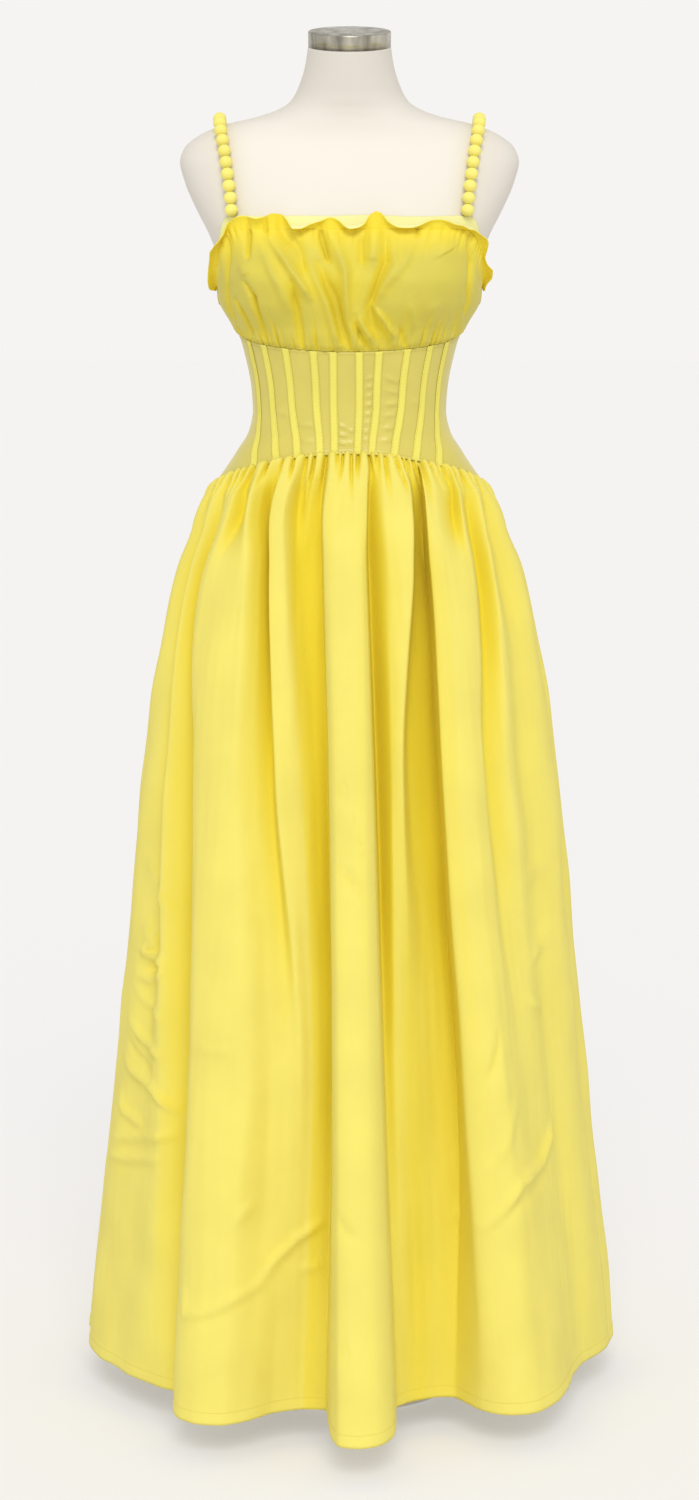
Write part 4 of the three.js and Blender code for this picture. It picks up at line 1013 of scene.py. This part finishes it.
def lathe(name, profile, material, sides=96):
    """A turned solid from (radius, z) points that start and end on the axis."""
    turns = np.linspace(0, 2 * math.pi, sides, endpoint=False)
    points = [(0, 0, profile[0][1])]
    for radius, z in profile[1:-1]:
        points += [(radius * math.cos(t), radius * math.sin(t), z) for t in turns]
    points.append((0, 0, profile[-1][1]))
    rings = len(profile) - 2
    faces = []
    for r in range(rings - 1):
        for i in range(sides):
            a, b = 1 + r * sides + i, 1 + r * sides + (i + 1) % sides
            faces.append((a, b, b + sides, a + sides))
    last = len(points) - 1
    top = 1 + (rings - 1) * sides
    caps = [(0, 1 + (i + 1) % sides, 1 + i) for i in range(sides)]
    caps += [(last, top + i, top + (i + 1) % sides) for i in range(sides)]
    return new_object(name, points, [faces, caps], material)


def rounded(radius, z, bevel, outside=1, steps=5):
    """Profile points of a rounded edge whose corner is at (radius, z)."""
    turns = np.linspace(0, math.pi / 2, steps)
    middle = radius - bevel
    if outside > 0:
        return [(middle + bevel * math.cos(t), z - bevel + bevel * math.sin(t)) for t in turns]
    return [(middle + bevel * math.sin(t), z + bevel - bevel * math.cos(t)) for t in turns]


def leaned(points):
    share = ease((points[..., 2] - NECK_START) / (NECK_TOP - NECK_START))
    points[..., 2] += points[..., 1] * math.tan(math.radians(NECK_LEAN)) * share
    return points


def build_form(material):
    """The torso, from its rounded lower edge to the top of the neck, closed at both ends."""
    around = np.linspace(0, 360, 140, endpoint=False)
    edge_top = FORM_BOTTOM + FORM_EDGE
    turns = np.linspace(0, math.pi / 2, 6)[:-1]
    edge = [FORM_BOTTOM + FORM_EDGE * (1 - math.cos(turn)) for turn in turns]
    heights = [*edge, *np.linspace(edge_top, 1440, 90), *np.linspace(1443, NECK_TOP, 56)]
    rings = []
    for z in heights:
        level = np.full_like(around, z)
        flat = form_section(around, level)
        if z < edge_top:
            part = (edge_top - z) / FORM_EDGE
            inset = FORM_EDGE * (1 - math.sqrt(1 - part * part))
            flat -= outward(form_section, around, level) * inset
        rings.append(raised(flat, z))
    grid = leaned(np.stack(rings, 1))[:, ::-1]
    columns, rows = grid.shape[:2]
    points = np.concatenate([grid.reshape(-1, 3), [grid[:, 0].mean(0), grid[:, -1].mean(0)]])
    first = np.arange(columns) * rows
    after = np.roll(first, -1)
    middle = np.full(columns, columns * rows)
    top = np.stack([middle, first, after], -1)
    bottom = np.stack([middle + 1, after + rows - 1, first + rows - 1], -1)
    faces = [grid_faces(columns, rows, close=True), top, bottom]
    piece = new_object("form_torso", points, faces, material)
    finish_piece(piece, "form_covering", "dress_form")


def build_stand(metal, coat):
    cap_profile = [
        (0, 0),
        (CAP_RADIUS, 0),
        *rounded(CAP_RADIUS, CAP_HEIGHT, CAP_EDGE),
        (0, CAP_HEIGHT),
    ]
    cap = lathe("neck_cap_band", cap_profile, metal, 128)
    tilt = Matrix.Rotation(math.radians(NECK_LEAN), 4, "X")
    cap.data.transform(Matrix.Translation((0, 0, (NECK_TOP + 1.2 * GAP) * MM)) @ tilt)
    finish_piece(cap, "cap_metal", "neck_cap")
    foot_profile = [
        (0, 0),
        *rounded(FOOT_RADIUS, 0, 1, -1),
        *rounded(FOOT_RADIUS, FOOT_HEIGHT, FOOT_EDGE),
        (COLLAR_RADIUS, FOOT_HEIGHT),
        *rounded(COLLAR_RADIUS, COLLAR_TOP, COLLAR_EDGE),
        (0, COLLAR_TOP),
    ]
    foot = lathe("stand_foot", foot_profile, coat, 128)
    finish_piece(foot, "stand_metal", "stand_base")
    low, high = COLLAR_TOP + GAP, FORM_BOTTOM - GAP
    pole_profile = [(0, low), (POLE_RADIUS, low), (POLE_RADIUS, high), (0, high)]
    pole = lathe("stand_tube", pole_profile, coat, 64)
    finish_piece(pole, "stand_metal", "stand_pole")


# ---- the bust, the band and the frill ----
BUST_SHADE_SHARE = 1.25  # how strongly its folds take the painted shade
BUST_UNEVEN = 0.7
BUST_OFF = 1.2
LOW_SWELL = 2.6  # how far it stands out over the underbust seam
TOP_TUCKS = (1.6, 0.12)  # how deep, and how far they reach
LOW_TUCKS = (4.2, 0.13)
TUCK_STRONG = (0.15, 1.3)
TUCK_LONG = (0.4, 1.6)
TUCK_SHIFT = (-0.35, 0.35)  # parts of the pitch
TUCK_HALF = 0.24
FRILL_LAP = 2  # how far it starts below the stitching
FRILL_BEND = 9
FRILL_THICKNESS = 0.9


def tuck_rows(around, down, seed, pitch, deep, reach):
    """Short uneven tucks that start at a gathered seam, where down is 0."""
    random = np.random.default_rng(seed)
    count = int(360 / pitch) + 1
    strong = random.uniform(*TUCK_STRONG, count)
    long = random.uniform(*TUCK_LONG, count)
    shift = random.uniform(*TUCK_SHIFT, count)
    cell = (around + 360) % 360 / pitch
    total = 0
    for step in (-1, 0, 1):
        near = (np.floor(cell).astype(int) + step) % count
        middle = np.floor(cell) + step + 0.5 + shift[near]
        across = np.exp(-(((cell - middle) / TUCK_HALF) ** 2))
        fade = np.exp(-((down / (reach * long[near])) ** 2))
        total = total - deep * strong[near] * across * fade
    return total


def bust_out(around, down, front, tucked=True):
    """How far the draped bust stands out of the bodice."""
    seed, pitch, strokes = (5, 3.4, BUST_STROKES) if front else (8, 4.2, BACK_STROKES)
    z = bust_height(around, down)
    held = ease(down / 0.12) * ease((1 - down) / 0.1)
    out = tuck_rows(around, down, seed, pitch, TOP_TUCKS[0] * tucked, TOP_TUCKS[1])
    out = out + tuck_rows(around, 1 - down, seed + 1, pitch, *LOW_TUCKS)
    place = around if front else np.mod(around, 360)
    out = out + stroke_depth(place, down, strokes, (BUST_ARC, BUST_DROP)) * DRAPE_DEPTH
    out = out + uneven(around * 0.05, z * 0.012, seed + 2) * BUST_UNEVEN * held
    out = out * off_seam(around)
    out = out + LOW_SWELL * ease((1 - down) / 0.05) * ease((down + 0.1) / 0.5) + BUST_OFF
    closest = CLOTH + 1.0 - look_up(EASE, "z", "out", z)
    over = out - closest
    return closest + np.where(over > 2, over, 2 * np.exp(np.minimum(over / 2 - 1, 0)))


def bust_height(around, down):
    top = neckline("z", around)
    low = seam_height(UNDERBUST, around) + GAP / 2
    return top + (low - top) * down


def build_bust(material, thread):
    for side, columns, rows in (("front", 441, 101), ("back", 301, 61)):
        name, front = f"bust_{side}", side == "front"
        around, down = panel_grid(front, columns, rows)
        z = bust_height(around, down)
        points = panel_points(front, around, z, bust_out(around, down, front))
        # how much painted shade each point of the bust takes
        shut = BUST_SHADE_SHARE * closed_in(points, 16)
        build_panel(name, points, material, "bust_cloth", "gathered", f"top_band_{side}", shut=shut)
        build_stitches(name + "_stitches", [grid_row(points, -3)], "bust_cloth", thread)


def build_band(material):
    for side in ("front", "back"):
        front = side == "front"
        around, part = panel_grid(front, 181, 13)
        above = BAND_ABOVE + uneven(around * 0.03, around * 0, 17) * 0.8
        z = neckline("z", around) + above - (above + BAND_BELOW) * part
        off = BAND_OFF + TAPE_THICKNESS - look_up(EASE, "z", "out", z)
        points = panel_points(front, around, z, off)
        build_panel(
            f"top_band_{side}", points, material, "pale_facing", "stretched", "dress_form",
            thickness=TAPE_THICKNESS,
        )


def build_frill(outside, inside):
    edge_around, edge_rise, edge_reach = (np.array(column) for column in zip(*FRILL_EDGE))
    lean_around, lean = (np.array(column) for column in zip(*BACK_LEAN))
    for side in ("front", "back"):
        front = side == "front"
        around = panel_grid(front, 561, 1)[0][:, 0]
        z = bust_height(around, around * 0)
        off = [bust_out(around, around * 0, front, tucked) - GAP for tucked in (True, False)]
        foot, plain = (raised(bodice(around, z, out), z - FRILL_LAP) for out in off)
        away = outward(dress_section, around, z)
        if front:
            rise = curve(edge_around, edge_rise, around)
            reach = curve(edge_around, edge_reach, around)
        else:
            turn = np.radians(90 + (curve(lean_around, lean, around) - 90) * off_seam(around, 12))
            length = neckline("frill", around) * (0.25 + 0.75 * off_seam(around, 25))
            rise, reach = length * np.cos(turn), length * np.sin(turn)
        ripple = uneven(around * 0.07, around * 0, 3 if front else 4, 7) * off_seam(around)
        columns = []
        for part in np.linspace(1, 0, 15):
            up = 2 * part * (1 - part) * FRILL_BEND + part**2 * rise
            out = part**2.4 * reach + ripple * part * 0.5
            move = np.concatenate([away * out[:, None], up[:, None]], -1)
            columns.append(foot + (plain - foot) * ease(part / 0.6) + move)
        points = part_sides(np.stack(columns, 1), front)
        build_panel(
            f"ruffle_{side}", points, outside, "frill_cloth", "gathered", f"top_band_{side}",
            thickness=FRILL_THICKNESS, inner_material=inside,
        )


# ---- the midriff ----
SATIN_ARC = 2  # mm in a degree around
SATIN_DROP = 125
SATIN_DEPTH = 1.8
WELT_LAP = 1.2  # how far the welt hangs over the skirt's top edge
WELT_OUT = 1.4
WELT_HIGH = 0.035  # the welt's height as a part of the midriff's
CASING_CLEAR = 2.2  # degrees off a casing's middle where the wrinkles start


def bone_lines(bones, centre, down):
    """The middle of every casing, left to right, at a part of the way down."""
    lines = [centre + side * curve([0, 0.5, 1], pair, down) for pair in bones for side in (-1, 1)]
    return sorted(lines, key=lambda line: float(np.mean(line)))


def midriff_height(around, down):
    top = seam_height(UNDERBUST, around) - GAP / 2
    low = seam_height(WAIST, around) - WELT_LAP
    return top + (low - top) * down


def satin_out(around, down, side):
    """Wrinkles that fade out beside the casings, and the welt just above the waist seam."""
    apart = np.min([np.abs(around - line) for line in bone_lines(*BONES[side], down)], 0)
    scale = (SATIN_ARC, SATIN_DROP)
    wrinkles = SATIN_DEPTH * stroke_depth(around, down, SATIN_WRINKLES[side], scale)
    welt = WELT_OUT * ease((down - 1 + WELT_HIGH) / (0.4 * WELT_HIGH))
    return np.maximum(wrinkles, -2) * ease((apart - CASING_CLEAR) / 1.6) + welt


def build_midriff(cloth, tape, thread):
    for side, (bones, centre) in BONES.items():
        front = side == "front"
        around, down = panel_grid(front, 221, 81)
        z = midriff_height(around, down)
        points = panel_points(front, around, z, satin_out(around, down, side))
        build_panel(f"midriff_{side}", points, cloth, "midriff_satin", "stretched", "dress_form")
        rows = [grid_row(points, 2), grid_row(points, -3)]
        build_stitches(f"midriff_{side}_stitches", rows, "midriff_satin", thread)
        rows = []
        for number, line in enumerate(bone_lines(bones, centre, down[0]), 1):
            rows += build_bone(f"boning_{side}_{number:02d}", line, down[0], tape)
        build_stitches(f"boning_{side}_stitches", rows, "boning_tape", thread)


def build_bone(node, line, down, material):
    """A casing: a strip with a soft crown and pressed edges, on the midriff."""
    across = np.linspace(-1, 1, 9)
    z = midriff_height(line, down)
    step = np.linalg.norm(bodice(line + 1, z) - bodice(line - 1, z), axis=-1) / 2
    half = TAPE_WIDTH / 2 / step
    around = line[None, :] + across[:, None] * half[None, :]
    height = midriff_height(around, np.broadcast_to(down, around.shape))
    crown = GAP + TAPE_THICKNESS * (0.55 + 0.45 * (1 - np.abs(across) ** 4))
    points = raised(bodice(around, height, np.broadcast_to(crown[:, None], around.shape)), height)
    piece = wall(node + "_tape", points, material, 0.5)
    finish_piece(piece, "boning_tape", node)
    away = grid_normals(points)
    return [(points[k, 2:-2] + 0.15 * away[k, 2:-2], away[k, 2:-2]) for k in (1, -2)]


# ---- the straps ----
def form_level(point):
    x, y, z = point
    half, blunt, bust = (float(look_up(FORM, "z", c, z)) for c in ("half", "blunt", "bust"))
    depth = float(look_up(FORM, "z", "front" if y < 0 else "back", z))
    around = math.degrees(math.atan2(x / half, -y / depth))
    reach = depth + bust * float(bust_share(around, SPREAD_FORM))
    return (abs(x) / half) ** blunt + (abs(y) / reach) ** blunt


def skin_point(side, turn):
    x = side * float(curve(STRAP_TURN, STRAP_APART, turn))
    s, c = math.sin(math.radians(turn)), math.cos(math.radians(turn))
    near, far = 0.0, 260.0
    for _ in range(36):
        middle = (near + far) / 2
        inside = form_level((x, STRAP_PIVOT_Y + s * middle, STRAP_PIVOT_Z + c * middle)) < 1
        near, far = (middle, far) if inside else (near, middle)
    return np.array([x, STRAP_PIVOT_Y + s * near, STRAP_PIVOT_Z + c * near])


def skin_outward(point):
    steps = np.eye(3) * 0.5
    slope = np.array([form_level(point + step) - form_level(point - step) for step in steps])
    return slope / np.linalg.norm(slope)


def turn_at_height(side, inner, outer, height):
    for _ in range(26):
        middle = (inner + outer) / 2
        if skin_point(side, middle)[2] > height:
            inner = middle
        else:
            outer = middle
    return inner


def strap_line(side):
    """Evenly spaced points along the middle of a strap, and the way off the form at each."""
    tops = [float(neckline("z", at)) + BAND_ABOVE + GAP for at in (STRAP_FRONT, STRAP_BACK)]
    first = turn_at_height(side, -60, -130, tops[0])
    last = turn_at_height(side, 60, 150, tops[1])
    skin = [skin_point(side, turn) for turn in np.linspace(first, last, 60)]
    away = np.array([skin_outward(point) for point in skin])
    middle = np.array(skin) + away * (BEAD_DIAMETER / 2 + GAP)
    run = np.concatenate([[0], np.cumsum(np.linalg.norm(np.diff(middle, axis=0), axis=1))])
    beads = round(run[-1] / BEAD_PITCH)
    stops = np.linspace(0, run[-1], 2 * beads + 1)
    line = np.stack([np.interp(stops, run, middle[:, k]) for k in range(3)], -1)
    off = np.stack([np.interp(stops, run, away[:, k]) for k in range(3)], -1)
    return line, off


BEAD_PUCKER = 0.016
BEAD_LONG = 0.93  # its length as a part of its width
BEAD_POLE = 0.06  # radians left open at each end


def bead_points(centre, along, away, seed):
    """A covered bead: a ball, a little pressed at its ends, with puckers that run in to them."""
    random = np.random.default_rng(seed)
    side = np.cross(along, away)
    turn = np.linspace(0, 2 * math.pi, 28, endpoint=False)[:, None]
    pole = np.linspace(BEAD_POLE, math.pi - BEAD_POLE, 17)[None, :]
    phase = random.uniform(0, 2 * math.pi, 3)
    pucker = np.cos(9 * turn + phase[0]) + 0.6 * np.cos(14 * turn + phase[1])
    near_pole = np.abs(np.cos(pole)) ** 3
    radius = BEAD_DIAMETER / 2 * (1 - BEAD_PUCKER * pucker * near_pole)
    height = np.cos(pole) * BEAD_LONG
    wide = np.sin(pole)
    along = (radius * height)[..., None] * along
    away = (radius * wide * np.cos(turn))[..., None] * away
    return centre + along + away + (radius * wide * np.sin(turn))[..., None] * side


def build_straps(material):
    for name, side in (("strap_left", -1), ("strap_right", 1)):
        line, off = strap_line(side)
        points, faces = [], []
        for k in range(1, len(line), 2):
            along = line[k + 1] - line[k - 1]
            along = along / np.linalg.norm(along)
            away = off[k] - along * np.dot(off[k], along)
            away = away / np.linalg.norm(away)
            bead = bead_points(line[k], along, away, k)
            faces.append(grid_faces(*bead.shape[:2], len(points) * bead[..., 0].size, True))
            points.append(bead.reshape(-1, 3))
        piece = new_object(name + "_beads", np.concatenate(points), faces, material)
        finish_piece(piece, "bead_cloth", name)


# ---- the stitching ----
STITCH_LENGTH = 2.6
STITCH_GAP = 1.2
STITCH_HALF = 0.32


def stitch_row(path, away):
    """Stitches along a path: each is a thin grain that lies on the cloth."""
    steps = np.linalg.norm(np.diff(path, axis=0), axis=1)
    run = np.concatenate([[0], np.cumsum(steps)])
    count = int(run[-1] / (STITCH_LENGTH + STITCH_GAP))
    starts = (np.arange(count) + 0.2) * (STITCH_LENGTH + STITCH_GAP)

    def at(values, where):
        return np.stack([np.interp(where, run, values[:, k]) for k in range(3)], 1)

    first, last = at(path, starts), at(path, starts + STITCH_LENGTH)
    middle, up = at(path, starts + STITCH_LENGTH / 2), at(away, starts)
    along = last - first
    side = np.cross(along, up)
    side = side / np.linalg.norm(side, axis=1)[:, None]
    ring = [middle + STITCH_HALF * 1.2 * up, middle + STITCH_HALF * side,
            middle - STITCH_HALF * up, middle - STITCH_HALF * side]
    points = np.stack([first, last, *ring], 1).reshape(-1, 3)
    faces = []
    for k in range(4):
        one, two = 2 + k, 2 + (k + 1) % 4
        faces += [(0, two, one), (1, one, two)]
    faces = (np.arange(count)[:, None, None] * 6 + np.array(faces)[None]).reshape(-1, 3)
    return points, faces


def build_stitches(name, rows, slot, material):
    """One mesh of all the stitches in some rows of (points, outward)."""
    points, faces = [], []
    for path, away in rows:
        some, more = stitch_row(path, away)
        faces.append(more + sum(len(block) for block in points))
        points.append(some)
    piece = new_object(name, np.concatenate(points), faces, material)
    finish_piece(piece, slot)


def grid_row(points, row, lift=0.2):
    """A row of a panel's outer points with its normals, a little way off the cloth."""
    away = grid_normals(points)[:, row]
    path = points[:, row] + away * lift
    keep = slice(2, -2)
    return path[keep], away[keep]


# ---- the room ----
CAMERA_DISTANCE = 3.8
CAMERA_HEIGHT = 1.3
CAMERA_PITCH = 8
FOCAL_PIXELS = 3250
FRAME_HEIGHT_PIXELS = 1500
SENSOR = 36
PALE = linear(246, 244, 242)
FLOOR_TONE = 0.5
FLOOR_GLOW = 0.435  # the floor is lit from beneath too, so its shadows stay pale
KEY = 1.52
KEY_SOFTNESS = 28
OVERHEAD = 0.72


def build_camera():
    data = bpy.data.cameras.new("camera")
    data.sensor_width = SENSOR
    data.lens = SENSOR * FOCAL_PIXELS / FRAME_HEIGHT_PIXELS
    camera = bpy.data.objects.new("camera", data)
    camera.location = (0, -CAMERA_DISTANCE, CAMERA_HEIGHT)
    camera.rotation_euler = (math.radians(90 - CAMERA_PITCH), 0, 0)
    bpy.context.scene.collection.objects.link(camera)
    bpy.context.scene.camera = camera


def add_sun(name, azimuth, elevation, strength, softness):
    """Even light from a wide soft source. Azimuth 0 is in front, 90 at +X."""
    data = bpy.data.lights.new(name, "SUN")
    data.energy = strength
    data.angle = math.radians(softness)
    light = bpy.data.objects.new(name, data)
    a, e = math.radians(azimuth), math.radians(elevation)
    towards = Vector((math.sin(a) * math.cos(e), -math.cos(a) * math.cos(e), math.sin(e)))
    light.rotation_euler = towards.to_track_quat("Z", "Y").to_euler()
    bpy.context.scene.collection.objects.link(light)


def build_room():
    half = 60000
    floor_shader = Shader("pale_floor", (FLOOR_TONE, FLOOR_TONE * 0.995, FLOOR_TONE * 0.99), 0.95)
    grain = floor_shader.noise(floor_shader.coordinates("Object"), 30, 2)
    floor_shader.bump(grain, 0.0002)
    floor_shader.set("Specular IOR Level", 0.0)
    floor_shader.set("Emission Color", (*PALE, 1))
    floor_shader.set("Emission Strength", FLOOR_GLOW)
    corners = [(-half, -half, 0), (half, -half, 0), (half, half, 0), (-half, half, 0)]
    floor = new_object("floor", corners, [[(0, 1, 2, 3)]], floor_shader.material, smooth=False)
    build_sky()
    add_sun("key", 2, 42, KEY, KEY_SOFTNESS)


def build_sky():
    """A pale room: one tone round the horizon, softer overhead."""
    world = bpy.data.worlds.new("studio")
    world.use_nodes = True
    nodes, links = world.node_tree.nodes, world.node_tree.links
    sky = nodes["Background"]
    place = nodes.new("ShaderNodeTexCoord")
    split = nodes.new("ShaderNodeSeparateXYZ")
    ramp = nodes.new("ShaderNodeValToRGB")
    links.new(place.outputs["Generated"], split.inputs["Vector"])
    links.new(split.outputs["Z"], ramp.inputs["Fac"])
    links.new(ramp.outputs["Color"], sky.inputs["Color"])
    low, high = ramp.color_ramp.elements
    low.position, low.color = 0.2, (*PALE, 1)
    high.position, high.color = 0.5, (*shaded(PALE, OVERHEAD), 1)
    bpy.context.scene.world = world


# ---- the build ----
build_camera()
build_room()
build_form(form_covering())
build_stand(brushed_metal(), powder_coat())
thread = woven("thread", THREAD_YELLOW, 0.6)
build_skirt(woven("skirt_cloth", SKIRT_YELLOW, 0.7, deep=SKIRT_PAINTED_SHADE), thread)
bust_cloth = woven(
    "bust_cloth", BUST_YELLOW, 0.5, 0.25,
    deep=BUST_PAINTED_SHADE, edge=(FRILL_YELLOW, 0.03), darkest_shade=0.7,
)
build_bust(bust_cloth, thread)
build_band(woven("pale_facing", BAND_CREAM, 0.7))
build_frill(woven("frill_cloth", FRILL_YELLOW, 0.7), woven("frill_inside", BAND_CREAM, 0.7))
boning_tape = woven("boning_tape", TAPE_YELLOW, 0.55)
build_midriff(satin("midriff_satin", SATIN_YELLOW), boning_tape, thread)
build_straps(woven("bead_cloth", BEAD_YELLOW, 0.65))

scene = bpy.context.scene
scene.view_settings.view_transform = "Standard"
